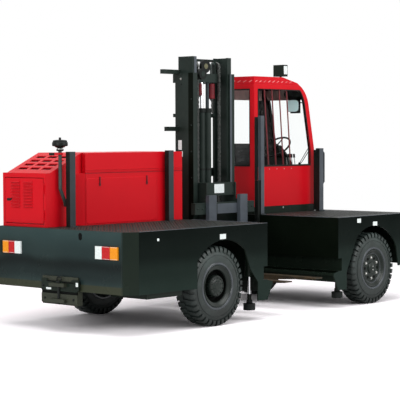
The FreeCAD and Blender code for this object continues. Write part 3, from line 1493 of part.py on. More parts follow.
def build_trolley():
    plate_low = f"({WELL_REAR} + trolley_gap)"
    roller_z = "(groove_bottom + running_gap + roller_radius)"
    side = block(
        "trolley_side",
        (plate_low, f"{PIVOT_Y} - 68", "shelf_bottom + shelf_plate + 10"),
        (f"{plate_low} + trolley_plate", f"{SIDE} - 71", "600"),
    )
    pieces = [side, mirror_x("trolley_side_twin", side)]
    for label, along in (("front", f"{PIVOT_Y} + 17"), ("back", f"{SIDE} - 156")):
        wheel = flat_rod(
            f"trolley_roller_{label}", "x",
            (f"{WELL_REAR} - 58", along, roller_z), "roller_radius", "48", 12,
        )
        stub = flat_rod(
            f"trolley_stub_{label}", "x", (f"{WELL_REAR} - 20", along, roller_z), "28", "trolley_gap + 30", 8,
        )
        for thing in (wheel, stub):
            pieces += [thing, mirror_x(thing.Name + "_twin", thing)]
    inside_low, inside_high = f"{plate_low} + trolley_plate", f"2 * {WELL_MID} - {plate_low} - trolley_plate"
    pieces.append(block(
        "trolley_beam_high",
        (inside_low, f"{MAST_BACK} + 60", "shelf_bottom + shelf_plate + 10"), (inside_high, f"{MAST_BACK} + 140", "600"),
    ))
    low_start = f"{WELL_REAR} + shelf_reach + 9"
    pieces.append(block(
        "trolley_beam_low",
        (low_start, f"{MAST_BACK} + 60", "side_beam_bottom"),
        (f"2 * {WELL_MID} - ({low_start})", f"{MAST_BACK} + 140", "shelf_bottom + shelf_plate + 15"),
    ))
    pieces.append(block(
        "trolley_beam_back", (inside_low, f"{SIDE} - 101", "440"), (inside_high, f"{SIDE} - trolley_back", "600"),
    ))
    lug = block(
        "pivot_lug",
        (f"{MAST_LOW} - 45", f"{PIVOT_Y} - 50", "pivot_height - 45"),
        (f"{MAST_LOW} - 10", f"{MAST_BACK} + 65", "pivot_height + 45"),
    )
    pieces += [lug, mirror_x("pivot_lug_twin", lug)]
    for label, low in (("out", "-100"), ("in", "-32")):
        cheek = block(
            f"tilt_cheek_{label}",
            (f"{MAST_LOW} + {low}", f"{TILT_BASE_Y} - 35", "tilt_base_height - 35"),
            (f"{MAST_LOW} + {low} + 22", f"{TILT_BASE_Y} + 35", "tilt_base_height + 35"),
        )
        pieces += [cheek, mirror_x(f"tilt_cheek_{label}_twin", cheek)]
    base_pin = flat_rod(
        "tilt_base_pin", "x", (f"{MAST_LOW} - 100", TILT_BASE_Y, "tilt_base_height"), "16", "90", 8,
    )
    pieces += [base_pin, mirror_x("tilt_base_pin_twin", base_pin)]
    body = fuse("trolley_body", *pieces)
    bore = rod("pivot_bore", "x", (f"{MAST_LOW} - 46", PIVOT_Y, "pivot_height"), "pivot_radius + running_gap", "37")
    node("mast_trolley", cut("trolley_bored", body, bore, mirror_x("pivot_bore_twin", bore)))

    build_tilt_cylinders()


def build_tilt_cylinders():
    """A pair that leans from base pins on the trolley up to pins on the mast."""
    centre = f"({MAST_LOW} - 55)"
    rise, run = "(tilt_eye_height - tilt_base_height)", f"({TILT_BASE_Y} - {TILT_EYE_Y})"
    span = f"sqrt({rise}^2 + {run}^2)"
    lean = math.degrees(math.atan2(value(run), value(rise)))

    def leaning(name, start, radius, length):
        """A ten-sided rod on the line of the two pins, from a distance past the base pin."""
        solid = doc.addObject("Part::Prism", name)
        solid.Polygon = 10
        bind(solid, "Circumradius", radius)
        bind(solid, "Height", length)
        spot = (
            centre, f"{TILT_BASE_Y} - ({start}) * {run} / {span}",
            f"tilt_base_height + ({start}) * {rise} / {span}",
        )
        return place(solid, spot, Rotation(Vector(1, 0, 0), lean))

    tube = leaning("tilt_tube", "60", "36", "310")
    neck = leaning("tilt_neck", "20", "18", "42")
    bore = leaning("tilt_bore", "96", "18.3", "320")
    eye_low = flat_rod("tilt_eye_low", "x", (f"{centre} - 20", TILT_BASE_Y, "tilt_base_height"), "30", "40", 12)
    hole_low = rod("tilt_hole_low", "x", (f"{centre} - 21", TILT_BASE_Y, "tilt_base_height"), "16.3", "42")
    barrel = cut("tilt_barrel", fuse("tilt_tube_eye", tube, neck, eye_low), bore, hole_low)
    node("tilt_barrels", group("tilt_barrel_pair", barrel, mirror_x("tilt_barrel_twin", barrel)))
    shaft = leaning("tilt_shaft", "128", "18", f"{span} - 128 - 28")
    eye_high = flat_rod("tilt_eye_high", "x", (f"{centre} - 17", TILT_EYE_Y, "tilt_eye_height"), "36", "34", 12)
    hole_high = flat_rod("tilt_hole_high", "x", (f"{centre} - 18", TILT_EYE_Y, "tilt_eye_height"), "23", "36", 12)
    piston = cut("tilt_rod", fuse("tilt_shaft_eye", shaft, eye_high), hole_high)
    node("tilt_rods", group("tilt_rod_pair", piston, mirror_x("tilt_rod_twin", piston)))


def save():
    doc.recompute()
    bad = [thing.Name for thing in doc.Objects if {"Invalid", "Error"} & set(thing.State)]
    if bad:
        raise RuntimeError(f"these objects failed: {bad}")
    os.makedirs("parts", exist_ok=True)
    for name, thing in NODES.items():
        if thing.Shape.isNull() or not thing.Shape.isValid():
            raise RuntimeError(f"{name} has no valid shape")
        thing.Shape.exportStep(f"parts/{name}.step")
    print(f"{len(NODES)} sub-parts written")


build_decks()
build_frame()
build_axles()
build_wheels()
build_hood()
build_posts()
build_tanks()
build_lamps()
build_jacks()
build_cab()
build_cab_interior()
build_mast()
build_carriage()
build_trolley()
save()
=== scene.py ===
"""Dresses the side loader forklift: finishes for every surface, and the small pieces on them."""

import math

import bmesh
import bpy
from mathutils import Matrix, Vector


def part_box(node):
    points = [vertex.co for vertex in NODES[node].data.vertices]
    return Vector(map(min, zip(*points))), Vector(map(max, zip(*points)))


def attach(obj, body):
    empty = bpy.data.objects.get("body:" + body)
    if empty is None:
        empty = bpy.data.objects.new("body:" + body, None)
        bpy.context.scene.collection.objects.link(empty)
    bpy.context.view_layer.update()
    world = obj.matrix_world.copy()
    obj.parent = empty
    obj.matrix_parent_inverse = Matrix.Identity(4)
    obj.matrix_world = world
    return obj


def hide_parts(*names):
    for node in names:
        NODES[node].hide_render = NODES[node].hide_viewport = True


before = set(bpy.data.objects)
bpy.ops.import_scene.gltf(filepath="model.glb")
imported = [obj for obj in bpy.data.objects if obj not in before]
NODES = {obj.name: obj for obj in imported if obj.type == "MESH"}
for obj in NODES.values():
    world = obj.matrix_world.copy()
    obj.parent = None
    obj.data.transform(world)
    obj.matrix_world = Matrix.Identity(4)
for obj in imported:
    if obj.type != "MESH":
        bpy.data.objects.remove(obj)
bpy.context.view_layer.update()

# ---- places, from the frame

REAR_DECK, FRONT_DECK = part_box("rear_deck"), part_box("front_deck")
LID, HOUSE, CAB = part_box("hood_lid"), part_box("radiator_housing"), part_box("cab_shell")
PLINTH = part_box("cab_plinth")
REAR, FRONT = REAR_DECK[0][0], FRONT_DECK[1][0]
SIDE, DECK = REAR_DECK[1][1], REAR_DECK[1][2]
SKIRT_LOW, SKIRT_TOP = DECK - 0.62, DECK - 0.0008
WELL_REAR, WELL_FRONT = LID[1][0] + 0.008, PLINTH[0][0] - 0.064
WELL_MID = (WELL_REAR + WELL_FRONT) / 2
WELL_WALLS = ((WELL_REAR, -1), (WELL_FRONT, 1))
HOOD_SIDE, HOOD_SEAM = LID[0][1], LID[0][2]
HOUSE_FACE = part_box("radiator")[0][0] - 0.08
CAB_SIDE, CAB_REAR, CAB_FRONT, ROOF = CAB[0][1], CAB[0][0], CAB[1][0], CAB[1][2]
SILL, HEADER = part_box("cab_glass")[0][2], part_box("cab_glass")[1][2]
OUTER_TOP, INNER_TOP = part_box("outer_mast")[1][2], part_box("inner_mast")[1][2]
OUTER_HALF, PULLEY_Y = 0.365, 0.4675
WEB = WELL_MID - OUTER_HALF
WHEELS = [f"{end}_{side}" for end in ("rear", "front") for side in ("left", "right")]
SIDE_NAMES = {-1: "right", 1: "left"}


def middle_of(low, high):
    """The point halfway between two corners."""
    return [(one + two) / 2 for one, two in zip(low, high)]


def half_of(low, high):
    """Half the way from one corner to the other, along each axis."""
    return [(two - one) / 2 for one, two in zip(low, high)]


# ---- materials


def nodes_in(tree):
    """A helper that adds a node to a tree and gives one of its outputs."""

    def add(kind, *feeds, give=0, **more):
        """An input, by place or by name, takes a value, a socket to join, or None to stay as it is."""
        made = tree.nodes.new("ShaderNode" + kind)
        for key, what in (*more.items(), *enumerate(feeds)):
            if isinstance(key, str) and hasattr(made, key):
                setattr(made, key, what)
                continue
            socket = made.inputs[key.replace("_", " ") if isinstance(key, str) else key]
            if isinstance(what, bpy.types.NodeSocket):
                tree.links.new(what, socket)
            elif what is not None:
                socket.default_value = what
        return made.outputs[give] if len(made.outputs) else made

    return add


def emptied(owner):
    """The same helper, for a material or world whose own nodes are cleared first."""
    owner.use_nodes = True
    owner.node_tree.nodes.clear()
    return nodes_in(owner.node_tree)


def belted(add, spot, tone, belt, wave):
    """A colour made stronger or weaker by height in wavy bands, painting light and shade: (height, factor)
    pairs from low to high.
    """
    low, high = belt[0][0], belt[-1][0]
    swell = add("TexNoise", spot, Scale=1.3, Detail=2.0)
    level = add("Math", swell, wave, add("SeparateXYZ", spot, give=2), operation="MULTIPLY_ADD")
    share = add("MapRange", level, From_Min=low + wave / 2, From_Max=high + wave / 2)
    strength = add("ValToRGB", share)
    ramp = strength.node.color_ramp
    ramp.interpolation = "EASE"
    while len(ramp.elements) < len(belt):
        ramp.elements.new(0.5)
    for stop, (height, factor) in zip(ramp.elements, belt):
        stop.position = (height - low) / (high - low)
        stop.color = (factor, factor, factor, 1)
    return add("VectorMath", tone, strength, operation="MULTIPLY")


def surface(add, spot, look):
    """One finish: two near colours mottled by noise, uneven roughness, and a fine grain."""
    mottle = add("TexNoise", spot, Scale=look.get("scale", 6.0), Detail=6.0, Roughness=0.6)
    tone = add("ValToRGB", mottle)
    stops = tone.node.color_ramp.elements
    stops[0].position, stops[1].position = 0.35, 0.7
    stops[0].color, stops[1].color = (*look["other"], 1), (*look["colour"], 1)
    # bands by height: painted light and shade
    if "belt" in look:
        tone = belted(add, spot, tone, look["belt"], look["wave"])
    rough, spread = look["rough"], look.get("spread", 0.08)
    sheen = add("MapRange", mottle, To_Min=max(0.02, rough - spread), To_Max=min(1.0, rough + spread))
    grain = add("TexNoise", spot, Scale=look.get("grain_scale", 220.0), Detail=3.0)
    edge = add("Bevel", samples=4, Radius=look["edge"]) if "edge" in look else None
    bump = add("Bump", Strength=look.get("grain", 0.05), Distance=0.002, Height=grain, Normal=edge)
    glow = {"Emission_Strength": look["glow"], "Emission_Color": tone} if "glow" in look else {}
    return add("BsdfPrincipled", Base_Color=tone, Metallic=look.get("metal", 0.0), Roughness=sheen,
               IOR=look["ior"], Transmission_Weight=look.get("clear", 0.0), Normal=bump, **glow)


def material(name, look, above=None, level=0.0, axis=2, by_normal=False):
    """A finish, with a second one past a level along an axis, by place or by which way a face looks."""
    made = bpy.data.materials.new(name)
    add = emptied(made)
    spot = add("TexCoord", give="Object")
    shown = surface(add, spot, LOOKS[look])
    if above:
        gauge = add("NewGeometry", give="True Normal") if by_normal else spot
        past = add("Math", add("SeparateXYZ", gauge, give=axis), level, operation="GREATER_THAN")
        shown = add("MixShader", past, shown, surface(add, spot, LOOKS[above]))
    add("OutputMaterial", shown)
    MATERIALS[name] = made


def inlay(name, low, high, look):
    """A flush patch of another finish, let into a material's faces that lie between two corners."""
    tree = MATERIALS[name].node_tree
    add = nodes_in(tree)
    out = next(node for node in tree.nodes if node.bl_idname == "ShaderNodeOutputMaterial")
    under = out.inputs[0].links[0].from_socket
    spot = add("TexCoord", give="Object")
    away = add("VectorMath", spot, middle_of(low, high), operation="SUBTRACT")
    far = add("VectorMath", away, operation="ABSOLUTE")
    share = add("VectorMath", far, half_of(low, high), operation="DIVIDE")
    most, *others = add("SeparateXYZ", share).node.outputs
    for part in others:
        most = add("Math", most, part, operation="MAXIMUM")
    inside = add("Math", most, 1.0, operation="LESS_THAN")
    tree.links.new(add("MixShader", inside, under, surface(add, spot, LOOKS[look])), out.inputs[0])


def tint(colour, other, rough, ior=1.5, **more):
    """The values of a finish: two colours, roughness and refraction, and what else it sets."""
    return dict(colour=colour, other=other, rough=rough, ior=ior, **more)


def gloss(colour, other, ior=1.22, **more):
    """A smooth dark coat, as on the decks' outer faces."""
    return tint(colour, other, 0.26, ior, edge=0.004, scale=1.6, grain=0.02, **more)


LOOKS = {
    "black_gloss": gloss((0.012, 0.019, 0.013), (0.009, 0.015, 0.011)),
    # the rear face: a lighter teal copy of the black coat, lighter again at its foot and top: painted light
    "rear_lit_gloss": gloss(
        (0.014, 0.024, 0.023), (0.011, 0.02, 0.02), wave=0.2,
        belt=((SKIRT_LOW, 2.1), (SKIRT_LOW + 0.16, 0.9), (SKIRT_LOW + 0.27, 0.5), (SKIRT_LOW + 0.37, 1.5),
              (DECK, 2.5)),
    ),
    # the side faces: the black coat lighter low down and darker up high: painted light and shade
    "side_lit_gloss": gloss(
        (0.012, 0.018, 0.0155), (0.009, 0.015, 0.0125), 1.09, wave=0.12,
        belt=((SKIRT_LOW, 1.7), (DECK - 0.42, 1.25), (DECK - 0.24, 0.6), (DECK, 0.4)),
    ),
    # an olive band at the foot of the rear face: painted light bounced up from the floor
    "rear_low_light": gloss((0.038, 0.043, 0.026), (0.031, 0.036, 0.022)),
    # olive tow plates: painted light bounced up from the floor onto black paint
    "tow_lit_olive": tint((0.045, 0.05, 0.034), (0.032, 0.036, 0.026), 0.36, 1.25, edge=0.004, scale=9.0),
    "bar_red": tint((0.2, 0.018, 0.022), (0.12, 0.012, 0.016), 0.35, 1.3, scale=20.0),
    "deck_top": tint((0.022, 0.026, 0.023), (0.01, 0.012, 0.011), 0.5, 1.22, edge=0.003, scale=9.0),
    "red": tint((0.62, 0.0035, 0.011), (0.57, 0.0032, 0.01), 0.34, 1.24, edge=0.01, scale=1.5, grain=0.012),
    # dark grey for the cab's inner faces: painted shade
    "cab_inside_shade": tint((0.03, 0.024, 0.024), (0.014, 0.012, 0.012), 0.6, 1.2, scale=4.0),
    "headliner": tint((0.34, 0.2, 0.19), (0.19, 0.14, 0.13), 0.6, 1.2, scale=3.0),
    # pale red slat ends: painted highlights
    "highlight_red": tint((0.84, 0.34, 0.34), (0.6, 0.07, 0.08), 0.25, 1.45, scale=30.0),
    "mast": tint((0.021, 0.031, 0.027), (0.012, 0.019, 0.016), 0.36, 1.24, edge=0.003, scale=3.0),
    "fork": tint((0.075, 0.05, 0.026), (0.026, 0.022, 0.016), 0.55, 1.3, edge=0.003, scale=14.0),
    "chain": tint((0.22, 0.23, 0.22), (0.03, 0.032, 0.03), 0.36, metal=0.7, scale=60.0),
    "chrome": tint((0.8, 0.8, 0.82), (0.72, 0.72, 0.75), 0.14, metal=1.0, spread=0.03),
    "iron": tint((0.017, 0.02, 0.019), (0.008, 0.01, 0.009), 0.5, 1.22, edge=0.004, scale=20.0),
    # near black for holes, gaps and recesses: painted shade
    "hollow_shade": tint((0.002, 0.003, 0.002), (0.001, 0.001, 0.001), 0.8, 1.2, scale=20.0),
    "rim": tint((0.015, 0.022, 0.018), (0.007, 0.011, 0.009), 0.3, 1.34, edge=0.003, scale=8.0),
    # tyres darker low down and lighter up high: painted light and shade
    "rubber": tint((0.031, 0.044, 0.041), (0.015, 0.021, 0.019), 0.46, 1.42, scale=7.0, grain=0.1, wave=0.1,
                   belt=((0.0, 0.5), (0.3, 0.75), (0.55, 1.0), (0.84, 1.35))),
    # lighter bluish rubber for rings: painted highlights
    "sidewall_highlight": tint((0.062, 0.072, 0.085), (0.036, 0.042, 0.046), 0.24, scale=6.0, grain=0.05),
    "glass": tint((0.985, 0.995, 0.992), (0.975, 0.988, 0.986), 0.03, 1.01, spread=0.01, clear=1.0, grain=0),
    "plastic": tint((0.01, 0.012, 0.011), (0.005, 0.007, 0.006), 0.42, 1.24, grain=0.1),
    "vinyl": tint((0.022, 0.024, 0.024), (0.012, 0.013, 0.013), 0.45, 1.45, grain=0.25, grain_scale=420.0),
    "alloy": tint((0.32, 0.33, 0.34), (0.16, 0.17, 0.17), 0.45, metal=0.8, scale=30.0),
    "zinc": tint((0.62, 0.62, 0.59), (0.36, 0.36, 0.35), 0.3, metal=1.0, scale=40.0),
    "brass": tint((0.2, 0.19, 0.11), (0.1, 0.1, 0.06), 0.35, metal=0.7, scale=40.0),
    "amber": tint((0.86, 0.31, 0.008), (0.72, 0.24, 0.006), 0.2, 1.4, glow=0.06, scale=60.0),
    "lens_red": tint((0.56, 0.012, 0.014), (0.42, 0.008, 0.01), 0.2, 1.4, glow=0.04, scale=60.0),
    # its faint glow is painted glow where it covers the side markers and tow reflectors, which are no lamps
    "lens_white": tint((0.8, 0.84, 0.83), (0.64, 0.7, 0.69), 0.2, 1.4, glow=0.1, scale=60.0),
    "label": tint((0.8, 0.84, 0.84), (0.66, 0.71, 0.71), 0.4, 1.4, scale=30.0),
    # mirror glass: pale with a faint glow, painted reflection
    "pale_glass": tint((0.6, 0.8, 0.8), (0.52, 0.73, 0.74), 0.12, 1.4, glow=0.12, scale=3.0),
    "sleeve": tint((0.17, 0.006, 0.012), (0.09, 0.004, 0.008), 0.5, 1.35, scale=20.0),
    # grey-blue lit faces of the posts and of one lift rod: painted light
    "post_side": tint((0.044, 0.054, 0.06), (0.032, 0.04, 0.044), 0.34, 1.24, edge=0.003, scale=4.0),
    "shade": tint((0.0035, 0.006, 0.0035), (0.002, 0.0035, 0.002), 0.35, 1.12, scale=2.0),
    # bluish grey, mostly painted highlights on lit edges and faces of the posts, mast, carriage and deck lip
    "slate": tint((0.075, 0.088, 0.105), (0.052, 0.062, 0.074), 0.36, 1.4, edge=0.003, scale=4.0),
}
MATERIALS = {}
for look in LOOKS:
    material(look, look)
for own, plain in (("mast_inner", "mast"), ("mast_outer", "mast"), ("carriage", "mast"), ("cab_red", "red")):
    material(own, plain)
material("deck", "black_gloss", "deck_top", DECK - 0.0006)
material("jack", "iron", "chrome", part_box("rear_jack")[0][2] + 0.172)
material("shank", "fork", "slate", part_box("forks")[0][2] + 0.26)
# posts black on faces that look rearward, grey-blue on the rest: painted shade and light by which way a face
# looks
material("post", "plastic", "post_side", -0.6, 0, True)
# the lift rod past the well's middle is dull grey-blue instead of chrome: painted shade
material("lift_rod", "chrome", "post_side", WELL_MID, 0)

THIN = 0.003
for place in (
    # material, low corner, high corner, finish
    # the rear face's lit coat and its lighter foot band: painted light
    ("deck", (REAR - THIN, -SIDE, 0.2), (REAR + THIN, SIDE, SKIRT_TOP), "rear_lit_gloss"),
    ("deck", (REAR - THIN, -SIDE, 0.2), (REAR + THIN, SIDE, SKIRT_LOW + 0.075), "rear_low_light"),
    ("deck", (WELL_FRONT - THIN, -SIDE + 0.004, 0.2), (WELL_FRONT + THIN, SIDE, SKIRT_TOP), "shade"),
    # the side faces darker towards the top: painted light and shade
    ("deck", (REAR, -SIDE - THIN, 0.2), (FRONT, -SIDE + THIN, SKIRT_TOP), "side_lit_gloss"),
    ("deck", (REAR, SIDE - THIN, 0.2), (FRONT, SIDE + THIN, SKIRT_TOP), "side_lit_gloss"),
    # slate strips on the posts' lit faces: painted highlights
    ("post", (WELL_FRONT - 0.1, 0.157, DECK), (CAB_FRONT + 0.1, 0.163, 2.3), "slate"),
    ("post", (WELL_FRONT + 0.007, 0.157, 1.45), (WELL_FRONT + 0.013, 0.208, 2.3), "slate"),
    # slate strips on the mast's and carriage's lit edges: painted highlights; the shade strip on the outer
    # web is painted shade
    ("mast_inner", (0.03, 0.354, 1.2), (0.092, 0.361, 2.9), "slate"),
    ("mast_outer", (0.6, 0.327, 1.2), (0.66, 0.333, 2.9), "slate"),
    ("mast_outer", (WEB - THIN, 0.328, 0.3), (WEB + THIN, 0.402, 2.72), "shade"),
    ("carriage", (0.2, 0.155, 0.95), (0.66, 0.168, 1.2), "slate"),
    # the cab's inner faces darkened: painted shade inside the cab
    ("cab_red", (CAB_REAR + 0.014, CAB_SIDE + 0.016, DECK), (CAB_FRONT - 0.018, SIDE - 0.03, ROOF + 0.03),
     "cab_inside_shade"),
):
    inlay(*place)
for start, end, bottom, top in (
    # the blank side markers, along the load side, in a faintly glowing white: painted glow
    (-1.084, -0.988, 0.907, 0.96), (1.346, 1.42, 0.967, 1.015), (1.661, 1.748, 0.917, 0.967),
    (-2.035, -2.005, 0.94, 0.965),
):
    inlay("deck", (start, -SIDE - 0.002, bottom), (end, -SIDE + 0.002, top), "lens_white")

NODE_LOOKS = {
    "deck": "rear_deck front_deck",
    "black_gloss": "chassis_frame jack_barrels fuel_tank cab_plinth lamps",
    "tow_lit_olive": "tow_coupler",
    "post": "stanchions",
    "red": "hood_side_panels hood_lid radiator_housing radiator_door radiator_grille",
    "bar_red": "window_guard",
    "cab_red": "cab_shell cab_roof cab_door",
    "mast": "mast_trolley lift_cylinders tilt_barrels",
    "mast_outer": "outer_mast",
    "mast_inner": "inner_mast",
    "carriage": "fork_carriage",
    "shank": "forks",
    "chain": "lift_chains",
    "chrome": "tilt_rods",
    "lift_rod": "lift_rods",
    "jack": "rear_jack front_jack",
    "iron": "rear_axle front_axle knuckle_left knuckle_right engine_block",
    "rim": " ".join(f"rim_{wheel}" for wheel in WHEELS),
    "rubber": " ".join(f"tyre_{wheel}" for wheel in WHEELS),
    "glass": "cab_glass door_glass",
    "plastic": "air_intake dash_console steering_column steering_wheel side_mirror seat_base",
    "vinyl": "seat_cushions",
    "alloy": "radiator",
}


def paint_nodes():
    """Give every node of the frame its finish. Its mesh stays as it is."""
    for look, names in NODE_LOOKS.items():
        for name in names.split():
            for place in NODES[name].material_slots:
                place.material = MATERIALS[look]


# ---- shapes


def around(count, shift=0.0):
    """The cosine and sine of evenly spaced angles round a circle."""
    angles = [2 * math.pi * (step + shift) / count for step in range(count)]
    return [(math.cos(angle), math.sin(angle)) for angle in angles]


def spaced(low, high, count):
    """Evenly spaced places from low to high."""
    return [low + (high - low) * number / (count - 1) for number in range(count)]


def linked(name, data):
    """An object of some data, linked to the scene."""
    made = bpy.data.objects.new(name, data)
    bpy.context.scene.collection.objects.link(made)
    return made


def smooth_object(name, mesh, looks):
    """An object of a finished bmesh, shaded smooth, with its materials."""
    data = bpy.data.meshes.new(name)
    mesh.to_mesh(data)
    mesh.free()
    for look in looks:
        data.materials.append(MATERIALS[look])
    data.shade_smooth()
    return linked(name, data)


class Form:
    """A mesh under construction. Each shape that is added names its finish."""

    def __init__(self):
        self.mesh = bmesh.new()
        self.looks = []

    def mark(self, faces, look):
        """Give faces a finish."""
        if look not in self.looks:
            self.looks.append(look)
        for face in faces:
            face.material_index = self.looks.index(look)

    def skin(self, rings, look):
        """Faces from each ring of corners to the next, and one over each end."""
        faces = [self.mesh.faces.new(rings[0]), self.mesh.faces.new(rings[-1])]
        for one, two in zip(rings, rings[1:]):
            for step in range(len(one)):
                after = (step + 1) % len(one)
                faces.append(self.mesh.faces.new((one[step], one[after], two[after], two[step])))
        self.mark(faces, look)

    def prism(self, outline, axis, start, end, look):
        """An outline of two coordinates, drawn out along the third."""
        add, places = self.mesh.verts.new, (start, end)
        self.skin([[add((*pair[:axis], place, *pair[axis:])) for pair in outline] for place in places], look)

    def block(self, low, high, look):
        """A box between two corners."""
        outline = [(low[0], low[1]), (high[0], low[1]), (high[0], high[1]), (low[0], high[1])]
        self.prism(outline, 2, low[2], high[2], look)

    def turned(self, profile, centre, axis, look, sides=32, closed=False):
        """A profile of (radius, place along the axis) turned about a line through a centre."""
        rings = []
        for radius, along in profile:
            ring = []
            for right, up in around(sides) if radius else [(0, 0)]:
                shift = [radius * right, radius * up]
                shift.insert(axis, along)
                ring.append(self.mesh.verts.new([one + two for one, two in zip(centre, shift)]))
            rings.append(ring)
        faces = []
        for one, two in zip(rings, rings[1:] + rings[:1] if closed else rings[1:]):
            for step in range(sides):
                after = (step + 1) % sides
                corners = ((one, step), (one, after), (two, after), (two, step))
                spots = dict.fromkeys(ring[number % len(ring)] for ring, number in corners)
                faces.append(self.mesh.faces.new(list(spots)))
        for ring in () if closed else (rings[0], rings[-1]):
            if len(ring) > 2:
                faces.append(self.mesh.faces.new(ring))
        self.mark(faces, look)

    def disc(self, centre, axis, look, radius, start, end, sides):
        """A solid disc or rod between two places along its axis."""
        self.turned([(0, start), (radius, start), (radius, end), (0, end)], centre, axis, look, sides)

    def tube(self, path, radius, look, sides=10):
        """A round bar or pipe along a path of points."""
        path = [Vector(spot) for spot in path]
        side = (path[1] - path[0]).normalized().orthogonal().normalized()
        rings = []
        for before, spot, after in zip(path[:1] + path, path, path[1:] + path[-1:]):
            way = (after - before).normalized()
            side = (side - way * side.dot(way)).normalized()
            other = way.cross(side)
            ring = [spot + radius * (right * side + up * other) for right, up in around(sides)]
            rings.append([self.mesh.verts.new(place) for place in ring])
        self.skin(rings, look)

    def bolt(self, centre, axis, way, size, look="zinc"):
        """A washer and a hexagon head, standing off a face towards way (+1 or -1)."""
        head = ((0, 0.2), (0.72, 0.2), (0.72, 0.75), (0.55, 0.85), (0, 0.85))
        self.disc(centre, axis, look, size, 0, way * size * 0.2, 14)
        self.turned([(far * size, way * size * along) for far, along in head], centre, axis, look, 6)

    def finish(self, name, body, bevel=0.0, smooth=35.0):
        """Make the piece: one object that rides on a body, with the finishes of its shapes."""
        bmesh.ops.recalc_face_normals(self.mesh, faces=self.mesh.faces)
        piece = smooth_object(name, self.mesh, self.looks)
        piece.data.set_sharp_from_angle(angle=math.radians(smooth))
        if bevel:
            rounded = piece.modifiers.new("edges", "BEVEL")
            rounded.width = bevel
            rounded.segments = 2
            rounded.limit_method = "ANGLE"
            rounded.angle_limit = math.radians(40)
        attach(piece, body)
        return piece


def bend(points, steps=6):
    """A smooth path through given points."""
    points = [Vector(spot) for spot in points]
    ends = [points[0] * 2 - points[1]] + points + [points[-1] * 2 - points[-2]]
    path = []
    for one, two, three, four in zip(ends, ends[1:], ends[2:], ends[3:]):
        for step in range(steps):
            along = step / steps
            path.append(0.5 * (
                2 * two + (three - one) * along + (2 * one - 5 * two + 4 * three - four) * along ** 2
                + (3 * two - one - 3 * three + four) * along ** 3
            ))
    return path + [points[-1]]


# ---- decks


def add_tread():
    """Raised lozenges over the open parts of both decks, turned each way by turns."""
    pitch, long_half, short_half, rise = 0.042, 0.017, 0.0065, 0.0035
    fields = (
        ((REAR + 0.03, -SIDE + 0.145), (WELL_REAR - 0.02, HOOD_SIDE - 0.1)),
        ((WELL_FRONT + 0.02, -SIDE + 0.145), (FRONT - 0.14, CAB_SIDE - 0.16)),
    )
    form = Form()
    faces = []
    for low, high in fields:
        rows, columns = int((high[0] - low[0]) / pitch), int((high[1] - low[1]) / pitch)
        for number in range(rows * columns):
            row, column = divmod(number, columns)
            centre = Vector((low[0] + (row + 0.5) * pitch, low[1] + (column + 0.5) * pitch, DECK))
            x, y = (long_half, short_half) if (row + column) % 2 else (short_half, long_half)
            corners = (x, 0, 0), (0, y, 0), (-x, 0, 0), (0, -y, 0), (0, 0, rise)
            *ring, top = [form.mesh.verts.new(centre + Vector(way)) for way in corners]
            faces += [form.mesh.faces.new((one, two, top)) for one, two in zip(ring, ring[1:] + ring[:1])]
    form.mark(faces, "deck_top")
    form.finish("deck_tread", "root", smooth=20)


def add_deck_edges():
    """Plain border strips along the load side, with pale strips on the lip and the well edges: painted
    highlights.
    """
    form = Form()
    border, lip = 0.13, 0.006
    for low, high in ((REAR + 0.125, WELL_REAR - 0.002), (WELL_FRONT + 0.002, FRONT - 0.125)):
        form.block((low, -SIDE + lip, DECK - 0.001), (high, -SIDE + border, DECK + 0.003), "deck_top")
        form.block((low, -SIDE + 0.0005, DECK - 0.004), (high, -SIDE + lip, DECK + 0.004), "slate")
    for wall, way in WELL_WALLS:
        ends = sorted((wall + way * 0.001, wall + way * 0.014))
        form.block((ends[0], -SIDE + border, DECK - 0.001), (ends[1], 0.1, DECK + 0.0045), "slate")
    form.finish("deck_borders", "root", bevel=0.0015)


def add_well_sills():
    """The lower flange of each well wall, below the guide groove."""
    form = Form()
    for wall, way in WELL_WALLS:
        ends = sorted((wall + way * 0.0003, wall + way * 0.016))
        form.block((ends[0], -SIDE + 0.03, 0.303), (ends[1], 0.9, 0.394), "black_gloss")
    form.finish("well_sills", "root", bevel=0.003)


